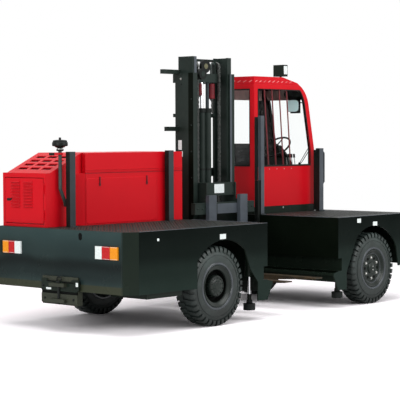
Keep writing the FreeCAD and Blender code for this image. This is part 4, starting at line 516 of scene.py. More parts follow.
def add_rear_face():
    """The slot, corner seams and tow plates of the rear face, with their reflectors and the tow pin."""
    form = Form()
    slot_y, slot_z, half_w, half_h = -0.278, 0.976, 0.024, 0.037
    slot = []
    for right, up in around(24):
        lift = (half_h - half_w) * (1 if up >= 0 else -1)
        slot.append((slot_y + half_w * right, slot_z + lift + half_w * up))
    # the slot is a near-black sheet: painted shade inside it
    form.prism(slot, 0, REAR - 0.0025, REAR + 0.004, "hollow_shade")
    for low, high in ((-0.861, -0.855), (0.959, 0.963)):
        form.block((REAR - 0.003, low, 0.425), (REAR + 0.002, high, DECK - 0.004), "mast")
    face, back = REAR - 0.034, REAR - 0.02
    plate = [(-0.288, 0.44), (-0.25, 0.412), (0.262, 0.412), (0.262, 0.535), (0.19, 0.535), (0.165, 0.515),
             (-0.165, 0.515), (-0.19, 0.535), (-0.288, 0.535)]
    form.prism(plate, 0, face, back, "black_gloss")
    form.block((face, -0.262, 0.29), (back, 0.262, 0.385), "tow_lit_olive")
    # near-black gap and hollows between the tow plates: painted shade
    form.block((REAR - 0.031, -0.258, 0.386), (back, 0.258, 0.4105), "hollow_shade")
    for hollow in (((-0.245, 0.512), (-0.03, 0.512), (-0.06, 0.498), (-0.2, 0.498)),
                   ((0.04, 0.516), (0.2, 0.516), (0.17, 0.504), (0.07, 0.504))):
        form.prism(hollow, 0, face - 0.0015, face, "hollow_shade")
    for y, z in ((-0.21, 0.335), (0.21, 0.335), (-0.24, 0.46), (0.235, 0.46)):
        form.bolt((face, y, z), 0, -1, 0.014, "iron")
    form.finish("tow_plates", "root", bevel=0.003)
    form = Form()
    # the reflectors glow faintly: painted glow
    for low, high in (((0.115, 0.423), (0.19, 0.443)), ((-0.278, 0.472), (-0.246, 0.512))):
        form.block((face - 0.0035, *low), (face, *high), "lens_white")
    form.finish("tow_reflectors", "root", bevel=0.001)
    form = Form()
    pin_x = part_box("tow_coupler")[0][0] + 0.038
    form.disc((pin_x, 0, 0.285), 2, "iron", 0.0155, 0, 0.235, 16)
    form.disc((pin_x, 0, 0.497), 2, "iron", 0.026, 0, 0.014, 20)
    handle = ((-0.03, 0.518), (-0.02, 0.555), (0.02, 0.555), (0.03, 0.518))
    form.tube(bend([(pin_x, *spot) for spot in handle]), 0.006, "iron", 8)
    form.finish("tow_pin", "root", bevel=0.001)


def add_tail_lamps():
    """Three lenses in a row over each rear lamp: amber outside, red, and white inside."""
    low, high, stand = 0.7645, 0.8925, REAR - 0.024
    for side, place, widths in ((1, 0.5885, (0.095, 0.094, 0.09)), (-1, -0.8205, (0.104, 0.114, 0.094))):
        form = Form()
        for look, width in zip(("lens_white", "lens_red", "amber")[::side], widths):
            form.block((stand, place + 0.001, low), (REAR - 0.003, place + width - 0.001, high), look)
            for height in () if look == "lens_white" else (low + 0.004, high - 0.006):
                form.block((stand - 0.001, place + 0.004, height),
                           (stand + 0.002, place + width - 0.004, height + 0.003), "lens_white")
            place += width
        form.finish(f"tail_lenses_{SIDE_NAMES[side]}", "root", bevel=0.002)


def add_head_lamps():
    """A domed lens in a rim over each round lamp of the front face."""
    for side, name in SIDE_NAMES.items():
        form = Form()
        centre = (FRONT, side * 0.64, 0.76)
        dome = [(0, -0.004), (0.045, -0.006), (0.066, -0.014), (0.066, -0.018), (0, -0.018)]
        rim = [(0.066, -0.001), (0.083, -0.001), (0.083, 0.0), (0.066, 0.0)]
        form.turned(dome, centre, 0, "lens_white")
        form.turned(rim, centre, 0, "plastic", closed=True)
        form.finish(f"head_lens_{name}", "root")


# ---- hood and radiator housing


def add_hood_details():
    """The hood's pressed side panel, seam seal, corner fairing and latches, and the lid's pressed lip."""
    low_x, high_x, low_z, high_z = -1.816, -0.728, DECK + 0.012, HOOD_SEAM - 0.055
    lid_rear, lid_front, corner_y = LID[0][0], LID[1][0], HOUSE[0][1] - 0.0005
    face, corner = HOOD_SIDE, 0.03
    outline = []
    for x, z, start in (
        (low_x + corner, low_z + corner, 180), (high_x - corner, low_z + corner, 270),
        (high_x - corner, high_z - corner, 0), (low_x + corner, high_z - corner, 90),
    ):
        for step in range(5):
            angle = math.radians(start + step * 22.5)
            outline.append((x + corner * math.cos(angle), z + corner * math.sin(angle)))
    form = Form()
    form.prism(outline, 1, face - 0.004, face + 0.002, "red")
    form.finish("hood_panel", "root", bevel=0.003)
    form = Form()
    form.block((lid_rear + 0.004, face - 0.0012, HOOD_SEAM - 0.004),
               (lid_front - 0.004, face + 0.01, HOOD_SEAM - 0.0005), "sleeve")
    form.finish("hood_seals", "root")
    form = Form()
    sweep = [(lid_rear - 0.105, corner_y), (lid_rear - 0.0015, face + 0.002), (lid_rear - 0.0015, corner_y)]
    form.prism(sweep, 2, DECK + 0.001, HOOD_SEAM - 0.002, "red")
    form.finish("hood_corner", "root")
    form = Form()
    for x in (-1.617, -0.894):
        form.block((x - 0.013, face - 0.01, HOOD_SEAM - 0.14), (x + 0.013, face - 0.001, HOOD_SEAM - 0.105),
                   "sleeve")
        form.block((x - 0.007, face - 0.013, HOOD_SEAM - 0.13), (x + 0.007, face - 0.005, HOOD_SEAM - 0.042),
                   "sleeve")
        form.bolt((x, face - 0.01, HOOD_SEAM - 0.122), 1, -1, 0.006, "iron")
    form.finish("hood_latches", "root", bevel=0.002)
    form = Form()
    for low, high in ((0.001, 0.006), (0.03, 0.034)):
        form.block((lid_rear + 0.003, face - 0.0035, HOOD_SEAM + low),
                   (lid_front - 0.003, face + 0.001, HOOD_SEAM + high), "red")
    form.finish("lid_lip", "hood_lid", bevel=0.001)


def add_housing_details():
    """Louvre hoods and a latch on the door, a mesh behind the grille, and the radiator's fins."""
    face, door_edge, column_pitch, row_pitch = HOUSE_FACE, SIDE - 0.05, 0.19, 0.032
    form = Form()
    for column in range(2):
        for row in range(9):
            right, bottom = door_edge - 0.105 - column * column_pitch, DECK + 0.2 + row * row_pitch
            hood = [(face, bottom + 0.02), (face - 0.012, bottom + 0.004), (face - 0.01, bottom + 0.002),
                    (face + 0.002, bottom + 0.014)]
            form.prism(hood, 1, right - 0.134, right + 0.004, "red")
    form.finish("door_louvres", "radiator_door")
    form = Form()
    latch_y = door_edge - 0.055
    form.block((face - 0.005, latch_y - 0.06, 1.306), (face - 0.0005, latch_y + 0.02, 1.332), "plastic")
    form.block((face - 0.01, latch_y - 0.046, 1.314), (face - 0.005, latch_y - 0.012, 1.325), "iron")
    form.finish("door_latch", "radiator_door", bevel=0.002)
    form = Form()
    low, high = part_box("radiator_grille")
    slope = (high[2] - low[2] - 0.012) / (high[0] - low[0])
    for x in spaced(low[0] + 0.01, high[0] - 0.01, 26):
        height = low[2] - 0.004 + (x - low[0]) * slope
        form.block((x - 0.0015, low[1] + 0.004, height - 0.003), (x + 0.0015, high[1] - 0.004, height),
                   "plastic")
    start, end, sill = low[0] + 0.006, high[0] - 0.006, low[2] - 0.006
    for y in spaced(low[1] + 0.01, high[1] - 0.01, 18):
        form.tube([(start, y, sill), (end, y, sill + (end - start) * slope)], 0.0015, "plastic", 4)
    form.finish("grille_mesh", "root")
    form = Form()
    low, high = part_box("radiator")
    for z in spaced(low[2] + 0.03, high[2] - 0.03, 60):
        form.block((low[0] - 0.004, low[1] + 0.03, z - 0.0012), (high[0] + 0.004, high[1] - 0.03, z + 0.0012),
                   "alloy")
    form.finish("radiator_fins", "root")


def add_intake_details():
    """The dust bowl of the air intake, with its knob, cap, brim and thin drain pipe."""
    x, y, top = REAR + 0.24, 0.262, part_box("air_intake")[1][2]
    centre = (x, y, top)
    bowl = [
        (0, -0.006), (0.012, -0.008), (0.013, -0.03), (0.04, -0.032), (0.068, -0.036), (0.074, -0.042),
        (0.074, -0.052), (0.079, -0.056), (0.082, -0.066), (0.082, -0.088), (0.076, -0.096), (0.056, -0.1),
        (0.046, -0.11), (0.03, -0.114), (0.028, -0.124), (0, -0.124),
    ]
    collar = [(0, -0.13), (0.038, -0.13), (0.038, -0.144), (0.024, -0.15), (0, -0.15)]
    form = Form()
    form.turned(bowl, centre, 2, "plastic", 40)
    for right, up in around(14):
        rib = (x + 0.0795 * right, y + 0.0795 * up)
        form.tube([(*rib, top - 0.06), (*rib, top - 0.092)], 0.0025, "mast", 6)
    form.disc(centre, 2, "zinc", 0.037, -0.122, -0.13, 28)
    form.turned(collar, centre, 2, "plastic", 28)
    form.tube([(x, y, top - 0.145), (x, y, 1.44)], 0.0185, "rubber", 20)
    elbow = [(x, y, 1.45), (x + 0.004, y, 1.425), (x + 0.07, y + 0.006, 1.3), (x + 0.105, y + 0.04, 1.262)]
    form.tube(bend(elbow), 0.0185, "rubber", 20)
    form.block((x - 0.105, y - 0.02, top - 0.186), (x + 0.02, y + 0.04, top - 0.166), "red")
    form.block((x - 0.118, y - 0.022, top - 0.192), (x - 0.1, y + 0.04, top - 0.164), "plastic")
    piece = form.finish("intake_cowl", "root", bevel=0.001)
    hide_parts("air_intake")


# ---- posts


def add_post_details():
    """Foot flanges and bolts on the load posts, and dark strips beside the third and fourth that paint the
    shade on their sides.
    """
    form = Form()
    post_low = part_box("stanchions")[0][1]
    starts = (REAR + 0.281, WELL_REAR - 0.32, WELL_FRONT + 0.01, CAB_FRONT - 0.085)
    foot, margin, inset = DECK + 0.012, 0.004, 0.018
    for start, length in zip(starts, (0.08, 0.08, 0.06, 0.08)):
        form.block((start - margin, post_low - 0.022, DECK + 0.0002),
                   (start + length + margin, post_low, foot), "post_side")
        for reach in (inset, length - inset):
            form.bolt((start + reach, post_low - 0.011, foot), 2, 1, 0.007, "iron")
    form.finish("post_feet", "root", bevel=0.002)
    form = Form()
    # dark blocks beside the third and fourth posts: painted shade
    low, high, step = WELL_FRONT - 0.033, WELL_FRONT + 0.0095, 1.45
    form.block((low, 0.172, DECK - 0.3), (high, 0.226, step), "plastic")
    form.block((low, 0.2065, step + 0.001), (high, 0.226, 2.2), "plastic")
    form.block((starts[3], 0.2205, DECK + 0.013), (starts[3] + 0.05, 0.255, 1.8), "plastic")
    form.finish("post_shade_strip", "root", bevel=0.002)


# ---- wheels


def add_lug(form, centre, side, turn, radius, half):
    """One bar of the tread: from the middle of the tyre out, over the shoulder and down its side."""
    run = (
        # place across the tyre, lean round it, drop below the tread
        (0.006, 0.01, 0.0), (0.45 * half, 0.004, 0.0), (half - 0.026, -0.006, 0.001),
        (half - 0.01, -0.01, 0.012), (half - 0.0015, -0.012, 0.036), (half - 0.0015, -0.012, 0.058),
    )
    reach, sunk = 0.0225, 0.024
    stations = []
    for along, lean, drop in run:
        top = radius - 0.0003 - drop
        deep = (along, top - sunk) if drop < 0.02 else (along - sunk, top)
        ring, outer = [], (along, top)
        for offset, (place, height) in ((-reach, outer), (reach, outer), (reach, deep), (-reach, deep)):
            angle = turn + (offset + lean) / radius
            spot = (height * math.sin(angle), side * place, height * math.cos(angle))
            ring.append(form.mesh.verts.new(Vector(centre) + Vector(spot)))
        stations.append(ring)
    form.skin(stations, "rubber")


def add_tyre(label, centre, out, radius, half):
    """A lug tyre with rounded shoulders. out is +1 on the left and -1 on the right."""
    form = Form()
    base, count = radius - 0.014, 36
    outside = [
        (0.2005, half - 0.024), (0.222, half - 0.01), (0.256, half - 0.006), (0.3, half - 0.003),
        (0.345, half - 0.009), (0.378, half - 0.02), (base - 0.006, half - 0.034), (base, half - 0.052),
    ]
    form.turned([(far, -along) for far, along in outside] + outside[::-1], centre, 1, "rubber", 72, True)
    for side, shift in ((-1, 0), (1, 0.5)):
        for number in range(count):
            add_lug(form, centre, side, 2 * math.pi * (number + shift) / count, radius, half)
    # the bead ring is a lighter bluish rubber: painted highlight
    bead = ((0.222, 0.012), (0.228, 0.0015), (0.244, 0.0005), (0.252, 0.01))
    ridge = ((0.318, 0.009), (0.32, 0.0008), (0.324, 0.0008), (0.326, 0.009))
    for side in (-1, 1):
        for line, look in ((bead, "sidewall_highlight"), (ridge, "rubber")):
            form.turned([(far, side * (half - drop)) for far, drop in line], centre, 1, look, 72, True)
    valve = Vector(centre) + Vector((0.15, out * (half - 0.052), -0.135))
    form.tube([valve, valve + Vector((0, out * 0.034, 0))], 0.006, "zinc", 8)
    piece = form.finish(f"tyre_{label}_lugs", f"wheel_{label}", smooth=40)
    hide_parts(f"tyre_{label}")


def add_wheels():
    """The four tyres and rims, each at its own node's place and size."""
    for label in WHEELS:
        end, side = label.split("_")
        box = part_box(f"tyre_{label}")
        out = 1 if side == "left" else -1
        _, half, radius = half_of(*box)
        add_tyre(label, middle_of(*box), out, radius, half)
        add_rim(end, label, middle_of(*box), out, half)


def add_rim(end, label, centre, out, half):
    """The dished rim with its hub and nuts: a deep dish at the rear, a shallow disc in front."""
    form = Form()
    bore, x, z = 0.0403, centre[0], centre[2]

    def turn(profile, look, sides=56, closed=True):
        """A turned shape whose profile runs outward from the wheel's middle."""
        form.turned([(radius, out * along) for radius, along in profile], centre, 1, look, sides, closed)

    def ring_of(count, radius, along, size, look):
        """Nuts or bolts, evenly spaced on a circle."""
        for right, up in around(count, 0.5):
            form.bolt((x + radius * right, centre[1] + out * along, z + radius * up), 1, out, size, look)

    flange = [
        (0.1955, -half + 0.022), (0.1955, half - 0.018), (0.2195, half - 0.015), (0.2195, half - 0.01),
        (0.2145, half - 0.006),
    ]
    if end == "rear":
        turn([(0.178, -half + 0.022), *flange, (0.205, half - 0.013), (0.188, half - 0.02),
              (0.18, half - 0.022), (0.172, half - 0.03), (0.1685, half - 0.038), (0.17, half - 0.046),
              (0.178, half - 0.05)], "rim")
        # the dish's recess is a near-black sheet: painted shade
        turn([(bore, 0.01), (bore, -0.06), (0.175, -0.04), (0.1775, 0.02), (0.1775, half - 0.052),
              (0.1695, half - 0.046), (0.157, 0.016), (0.15, 0.011)], "hollow_shade")
        turn([(0, 0), (bore, 0), (bore, 0.009), (0.114, 0.01), (0.118, 0.03), (0.114, 0.088), (0.106, 0.104),
              (0.094, 0.111), (0.078, 0.108), (0.07, 0.112), (0.044, 0.113), (0.04, 0.117), (0, 0.118)],
             "rim", 40, False)
        for right, up in around(24):
            ridge = [Vector(centre) + Vector((right, 0, up)) * far + Vector((0, out * along, 0))
                     for far, along in ((0.096, 0.11), (0.112, 0.092), (0.117, 0.04))]
            form.tube(ridge, 0.0042, "iron", 6)
        ring_of(10, 0.086, 0.109, 0.008, "iron")
        ring_of(8, 0.056, 0.112, 0.007, "mast")
    else:
        turn([(bore, -0.045), (0.068, -0.045), (0.179, 0.01), (0.179, -half + 0.022), *flange,
              (0.205, half - 0.012), (0.192, half - 0.02), (0.18, half - 0.03), (0.17, half - 0.034),
              (0.164, half - 0.044), (0.158, half - 0.046), (0.15, half - 0.042), (0.085, half - 0.04),
              (bore, half - 0.04)], "rim")
        # a lighter ring inside the disc: painted highlight
        turn([(0.168, half - 0.036), (0.171, half - 0.03), (0.175, half - 0.029), (0.178, half - 0.034)],
             "sidewall_highlight")
        turn([(0, 0), (bore, 0), (bore, 0.078), (0.066, 0.078), (0.064, 0.09), (0.05, 0.098), (0.03, 0.102),
              (0.026, 0.106), (0, 0.107)], "rim", 36, False)
        ring_of(6, 0.1205, 0.079, 0.0175, "zinc")
        ring_of(2, 0.02, 0.104, 0.01, "zinc")
        # the disc's holes are near-black discs: painted shade
        for right, up in around(6):
            hole = Vector(centre) + Vector((0.122 * right, out * 0.0795, 0.122 * up))
            form.disc(hole, 1, "hollow_shade", 0.017, 0, out * 0.0012, 16)
    piece = form.finish(f"rim_{label}_dish", f"wheel_{label}", smooth=32)
    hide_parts(f"rim_{label}")


# ---- mast


def add_mast_labels():
    """Blank label plates and bolts on the outer mast."""
    form = Form()
    for low, high in (((0.505, 1.82), (0.56, 1.93)), ((0.49, 1.74), (0.52, 1.803))):
        form.block((WEB - 0.0012, *low), (WEB - 0.0002, *high), "label")
    form.finish("mast_labels", "outer_mast")
    form = Form()
    for drop, look in ((0.055, "mast"), (0.105, "zinc"), (0.165, "mast")):
        form.bolt((WEB, 0.515, OUTER_TOP - drop), 0, -1, 0.013, look)
    for height in (0.62, 0.9, 1.2, 1.5, 1.8, 2.1, 2.4):
        for y in (0.355, 0.58):
            form.bolt((WEB, y, height), 0, -1, 0.009, "mast")
            form.bolt((WELL_MID + OUTER_HALF, y, height), 0, 1, 0.009, "mast")
    form.finish("mast_bolts", "outer_mast")


def add_leaf_chains():
    """Each chain's link plates and pins, up one side of its pulley, over it and down the other."""
    form = Form()
    top, pitch, reach = INNER_TOP - 0.11, 0.026, 0.051
    groove = [(0.02, -0.019), (0.044, -0.019), (0.048, -0.015), (0.048, 0.015), (0.044, 0.019), (0.02, 0.019)]
    for side in (-1, 1):
        x = WELL_MID + side * 0.19
        for y, low in ((PULLEY_Y - reach, 1.185), (PULLEY_Y + reach, 2.245)):
            for number in range(int((top - low) / pitch)):
                height = low + (number + 0.5) * pitch
                for plate in (-0.012, 0.0, 0.012) if number % 2 else (-0.006, 0.006):
                    form.block((x + plate - 0.0022, y - 0.0125, height - 0.016),
                               (x + plate + 0.0022, y + 0.0125, height + 0.016), "chain")
        for angle in spaced(0.0, math.pi, 13):
            pin = (x, PULLEY_Y - reach * math.cos(angle), top + reach * math.sin(angle))
            form.disc(pin, 0, "chain", 0.0115, -0.017, 0.017, 8)
        form.turned(groove, (x, PULLEY_Y, top), 0, "iron", 32, True)
        form.disc((x, PULLEY_Y, top), 0, "zinc", 0.0155, -0.0235, 0.0235, 16)
    piece = form.finish("leaf_chains", "inner_mast")
    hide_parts("lift_chains")


def add_mast_hoses():
    """Hoses in dark sleeves, their arcs, and two sheaves, behind the path of the carriage's anchor beam."""
    form = Form()
    crown, beam_face, sheave_y = INNER_TOP - 0.06, 0.4325, 0.36
    for side, wide, sleeve_x, low_end in ((-1, 0.028, -0.099, -0.15), (1, 0.041, 0.117, -0.186)):
        hose = (WELL_MID + sleeve_x - 0.01, beam_face + wide)
        form.tube([(*hose, crown - 0.225), (*hose, crown - 0.252 + low_end)], 0.011, "rubber")
        sleeve = [(0.011, 0), (wide - 0.002, -0.006), (wide, low_end + 0.008), (0.011, low_end)]
        form.turned(sleeve, (WELL_MID + sleeve_x, beam_face + wide, crown - 0.238), 2, "sleeve", 20, True)
        arc = ((0, -0.14), (0.005, -0.03), (0.04, -0.002), (0.075, -0.04), (0.085, -0.14))
        arc_x, arc_y = WELL_MID + side * 0.095, beam_face + 0.029
        form.tube(bend([(arc_x + x, arc_y, crown + z) for x, z in arc]), 0.011, "rubber")
    for sheave, size, look in (((WELL_MID - 0.045, 0.43, crown - 0.045), 0.078, "brass"),
                               ((WELL_MID - 0.175, sheave_y, crown - 0.14), 0.064, "mast")):
        groove = [(0.02, -0.018), (size, -0.018), (size - 0.01, 0.0), (size, 0.018), (0.02, 0.018)]
        hub = [(0, -0.021), (0.032, -0.021), (0.034, 0.0), (0.032, 0.021), (0, 0.021)]
        form.turned(groove, sheave, 1, "plastic", 32, True)
        form.turned(hub, sheave, 1, look, 24)
    form.disc(sheave, 1, "iron", 0.011, 0, beam_face - sheave_y, 16)
    form.finish("mast_hoses", "inner_mast")


def add_cylinder_glands():
    """The gland nut and the clamp bands of each lift cylinder."""
    form = Form()
    gland = [(0.0225, 0), (0.047, 0), (0.05, -0.004), (0.05, -0.045), (0.0452, -0.05)]
    band = [(0.0452, 0), (0.048, 0), (0.048, 0.02), (0.0452, 0.02)]
    for side in (-1, 1):
        centre = (WELL_MID + side * 0.052, PULLEY_Y + 0.012)
        form.turned(gland, (*centre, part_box("lift_cylinders")[1][2]), 2, "iron", 28, True)
        for height in (0.36, 1.02, 1.58):
            form.turned(band, (*centre, height), 2, "iron", 28, True)
    form.finish("cylinder_glands", "outer_mast")


def add_carriage_details():
    """A blank white plate, bolts and the fork hooks on the carriage."""
    plate_y, bar_y = 0.238, 0.162
    form = Form()
    form.block((WELL_MID - 0.105, plate_y - 0.002, 1.318), (WELL_MID + 0.066, plate_y - 0.0003, 1.422),
               "label")
    form.finish("carriage_label", "fork_carriage")
    form = Form()
    for x in (-0.225, 0.225):
        for z in (1.32, 1.41):
            form.bolt((WELL_MID + x, plate_y, z), 1, -1, 0.01, "mast")
    for x in (-0.48, -0.4, 0.4, 0.48):
        for z in (1.15, 0.49):
            form.bolt((WELL_MID + x, bar_y, z), 1, -1, 0.012, "mast")
    for side in (-1, 1):
        x = WELL_MID + side * 0.275
        form.block((x - 0.05, 0.166, 1.2155), (x + 0.05, 0.2, 1.25), "mast")
        form.disc((x, 0.184, 1.25), 2, "iron", 0.012, 0, 0.04, 14)
    form.finish("carriage_bolts", "fork_carriage", bevel=0.002)


# ---- cab


def frame_round(form, outline, axis, start, end, width):
    """A dark strip that follows an outline, drawn in by its width."""
    corners = [Vector(pair) for pair in outline]
    middle = Vector([sum(pair) / len(outline) for pair in zip(*outline)])
    inner = [spot + (middle - spot).normalized() * width * 1.35 for spot in corners]
    for number in range(len(outline)):
        strip = [outline[number - 1], outline[number], tuple(inner[number]), tuple(inner[number - 1])]
        form.prism(strip, axis, start, end, "plastic")


def screen_line(inset, low, high, steps=8):
    """Points up the cab's front edge, drawn in by an inset, between two heights."""
    break_z, knee_x, knee_z, radius = 1.81, CAB_FRONT - 0.11, 2.345, 0.35
    centre_x, centre_z = CAB_FRONT - 0.455, 2.2862
    points = [(CAB_FRONT - inset, low), (CAB_FRONT - inset, break_z), (knee_x - inset, knee_z)]
    start = math.atan2(knee_z - centre_z, knee_x - centre_x)
    end = math.asin(min(1.0, (high - centre_z) / radius))
    for angle in spaced(start, end, steps + 1)[1:]:
        points.append((centre_x - inset + radius * math.cos(angle), centre_z + radius * math.sin(angle)))
    return points


def add_cab_seals():
    """Dark seals round the windows and the door's glass, and the door's handle."""
    form = Form()
    rear = CAB_REAR + 0.07
    side = [(rear, SILL)] + screen_line(0.075, SILL, HEADER) + [(rear, HEADER)]
    frame_round(form, side, 1, CAB_SIDE - 0.003, CAB_SIDE + 0.006, 0.012)
    right, left = CAB_SIDE + 0.065, SIDE - 0.085
    back = [(right, SILL), (left, SILL), (left, HEADER), (right, HEADER)]
    frame_round(form, back, 0, CAB_REAR - 0.003, CAB_REAR + 0.006, 0.014)
    form.block((rear, CAB_SIDE - 0.0035, SILL - 0.006), (CAB_FRONT - 0.074, CAB_SIDE + 0.01, SILL + 0.014),
               "plastic")
    form.finish("window_seals", "root")
    form = Form()
    low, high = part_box("door_glass")
    door = [(low[0], low[2]), (high[0], low[2]), (high[0], high[2]), (low[0], high[2])]
    frame_round(form, door, 1, SIDE - 0.026, SIDE - 0.0175, 0.012)
    handle_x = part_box("cab_door")[0][0] + 0.06
    form.block((handle_x - 0.02, SIDE - 0.02, 1.46), (handle_x + 0.1, SIDE - 0.006, 1.5), "plastic")
    form.finish("door_trim", "cab_door", bevel=0.002)


def add_cab_outside():
    """Guard bar bolts, the plinth's bolt and seam, the wiper and the work lamp's lens."""
    form = Form()
    bolt_pitch = 0.143
    for number in range(4):
        form.bolt((CAB_REAR + 0.29 + number * bolt_pitch, CAB_SIDE, SILL - 0.035), 1, -1, 0.006)
    face = PLINTH[0][1]
    form.bolt((1.597, face, 1.1), 1, -1, 0.012)
    form.block((1.735, face - 0.0008, DECK + 0.002), (1.738, face + 0.001, PLINTH[1][2]), "mast")
    form.finish("cab_bolts", "root")
    form = Form()
    glass_x = CAB_FRONT - 0.018
    for start, end in (((0.525, 1.632), (0.345, 1.884)), ((0.5, 1.632), (0.372, 1.8))):
        form.tube([(glass_x, *start), (glass_x + 0.004, *end)], 0.0045, "plastic", 6)
    form.disc((glass_x - 0.002, 0.53, 1.625), 0, "plastic", 0.016, 0, 0.016, 16)
    form.finish("screen_wiper", "root")
    form = Form()
    lamp_x, face = CAB_FRONT - 0.375, 0.47
    form.block((lamp_x - 0.04, face - 0.003, 2.726), (lamp_x + 0.044, face + 0.002, 2.846), "plastic")
    form.block((lamp_x - 0.034, face - 0.006, 2.736), (lamp_x + 0.034, face - 0.002, 2.838), "lens_white")
    form.finish("work_lamp_lens", "root", bevel=0.003)


def add_roof_slats():
    """Rounded slat ends along the roof's upper edge, pale and dark by turns; the pale ones are painted
    highlights.
    """
    form = Form()
    low, high, thick = ROOF + 0.02, ROOF + 0.04, 0.0065
    side_pitch, rear_pitch = 0.083, 0.088
    for number in range(9):
        x = CAB_REAR + 0.02 + number * side_pitch
        for start, end, inset, look in ((0, 0.042, 0.0045, "highlight_red"), (0.046, 0.08, 0.006, "sleeve")):
            y = CAB_SIDE + inset
            form.tube([(x + start, y, low), (x + end, y, high)], thick, look, 8)
    for number in range(7):
        y = CAB_SIDE + 0.03 + number * rear_pitch
        for start, end, inset, look in ((0, 0.05, 0.0045, "highlight_red"), (0.054, 0.084, 0.006, "sleeve")):
            x = CAB_REAR + inset
            form.tube([(x, y + start, high), (x, y + end, low)], thick, look, 8)
    form.finish("roof_slat_ends", "root")


def add_headliner():
    """The pale lining over the far windows and the screen, with a dark oval sun visor."""
    form = Form()
    far, low, high = SIDE - 0.067, 2.42, 2.545
    form.block((CAB_REAR + 0.04, far - 0.011, low), (CAB_FRONT - 0.3, far, high), "headliner")
    slope = [(CAB_FRONT - 0.162, low), (CAB_FRONT - 0.247, high), (CAB_FRONT - 0.257, high),
             (CAB_FRONT - 0.172, low)]
    form.prism(slope, 1, CAB_SIDE + 0.035, far, "headliner")
    form.finish("headliner", "root", bevel=0.002)
    form = Form()
    visor_z = 2.474
    visor = [(0.4745 + 0.13 * right, visor_z + 0.072 * up) for right, up in around(28)]
    form.prism(visor, 0, CAB_FRONT - 0.225, CAB_FRONT - 0.216, "plastic")
    for vert in form.mesh.verts:
        vert.co.x -= 0.7 * (vert.co.z - visor_z)
    form.finish("sun_visor", "root", bevel=0.002)


def add_mirror():
    """A rounded glass in a dark rim, on the mirror's back; its pale, faintly glowing finish is painted
    reflection.
    """
    back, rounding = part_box("side_mirror")[0][0], 0.55
    form = Form()
    for grow, depth, look in ((0.004, 0.0055, "plastic"), (0.0, 0.0075, "pale_glass")):
        ring = [(0.468 + (0.091 + grow) * math.copysign(abs(right) ** rounding, right),
                 2.347 + (0.072 + grow) * math.copysign(abs(up) ** rounding, up)) for right, up in around(36)]
        form.prism(ring, 0, back - depth, back - 0.0002, look)
    form.finish("mirror_glass", "root")


def add_steering_rim():
    """A smooth steering wheel with three spokes, a boss and a knob."""
    tilt, radius = math.radians(40), 0.18
    wheel = Vector((CAB_FRONT - 0.34, (CAB_SIDE + SIDE - 0.02) / 2, 1.838))
    up = Vector((-math.sin(tilt), 0, math.cos(tilt)))
    ahead = Vector((math.cos(tilt), 0, math.sin(tilt)))
    left = Vector((0, 1, 0))
    form = Form()
    rim = [wheel + radius * (right * ahead + rise * left) for right, rise in around(40)]
    form.tube(rim + rim[:1], 0.0115, "plastic")
    for angle in (90, 210, 330):
        way = math.cos(math.radians(angle)) * left + math.sin(math.radians(angle)) * ahead
        form.tube([wheel + up * 0.012, wheel + way * (radius - 0.008) + up * 0.002], 0.007, "plastic", 8)
    form.tube([wheel + up * 0.001, wheel + up * 0.024], 0.033, "plastic", 24)
    knob = wheel + ahead * 0.1 + left * 0.135
    form.tube([knob + up * 0.01, knob + up * 0.055], 0.014, "plastic", 14)
    piece = form.finish("steering_rim", "steering_wheel")
    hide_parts("steering_wheel")


def add_controls():
    """Gauges, levers, pedals and the binnacle in the cab."""
    (rear, right, _), (front, _, top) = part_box("dash_console")
    dial = [(0, 0.004), (0.03, 0.004), (0.036, 0.006), (0.036, 0.0), (0, 0)]
    form = Form()
    for number in range(3):
        centre = (front - 0.1, right + 0.11 + number * 0.085, top)
        form.turned(dial, centre, 2, "plastic", 24)
        form.disc(centre, 2, "label", 0.028, 0.005, 0.004, 24)
    for number in range(4):
        foot = Vector((rear + 0.075, right + 0.03 + number * 0.042, top))
        form.tube([foot, foot + Vector((-0.02, 0, 0.115))], 0.005, "zinc", 8)
        form.tube([foot + Vector((-0.019, 0, 0.105)), foot + Vector((-0.026, 0, 0.15))], 0.013, "plastic", 12)
    pedal = [(rear - 0.02, 1.11), (rear + 0.03, 1.18), (rear + 0.036, 1.176), (rear - 0.012, 1.104)]
    for shift in (-0.13, 0.07):
        y = (CAB_SIDE + SIDE - 0.02) / 2 + shift
        form.prism(pedal, 1, y - 0.035, y + 0.035, "rubber")
        form.tube([(rear + 0.02, y, 1.165), (rear + 0.08, y, 1.2)], 0.006, "iron", 8)
    binnacle = [(1.925, 1.46), (2.01, 1.46), (2.02, 1.7), (1.965, 1.775), (1.935, 1.72)]
    form.prism(binnacle, 1, 0.555, 0.8, "plastic")
    form.finish("driver_controls", "root", bevel=0.004)


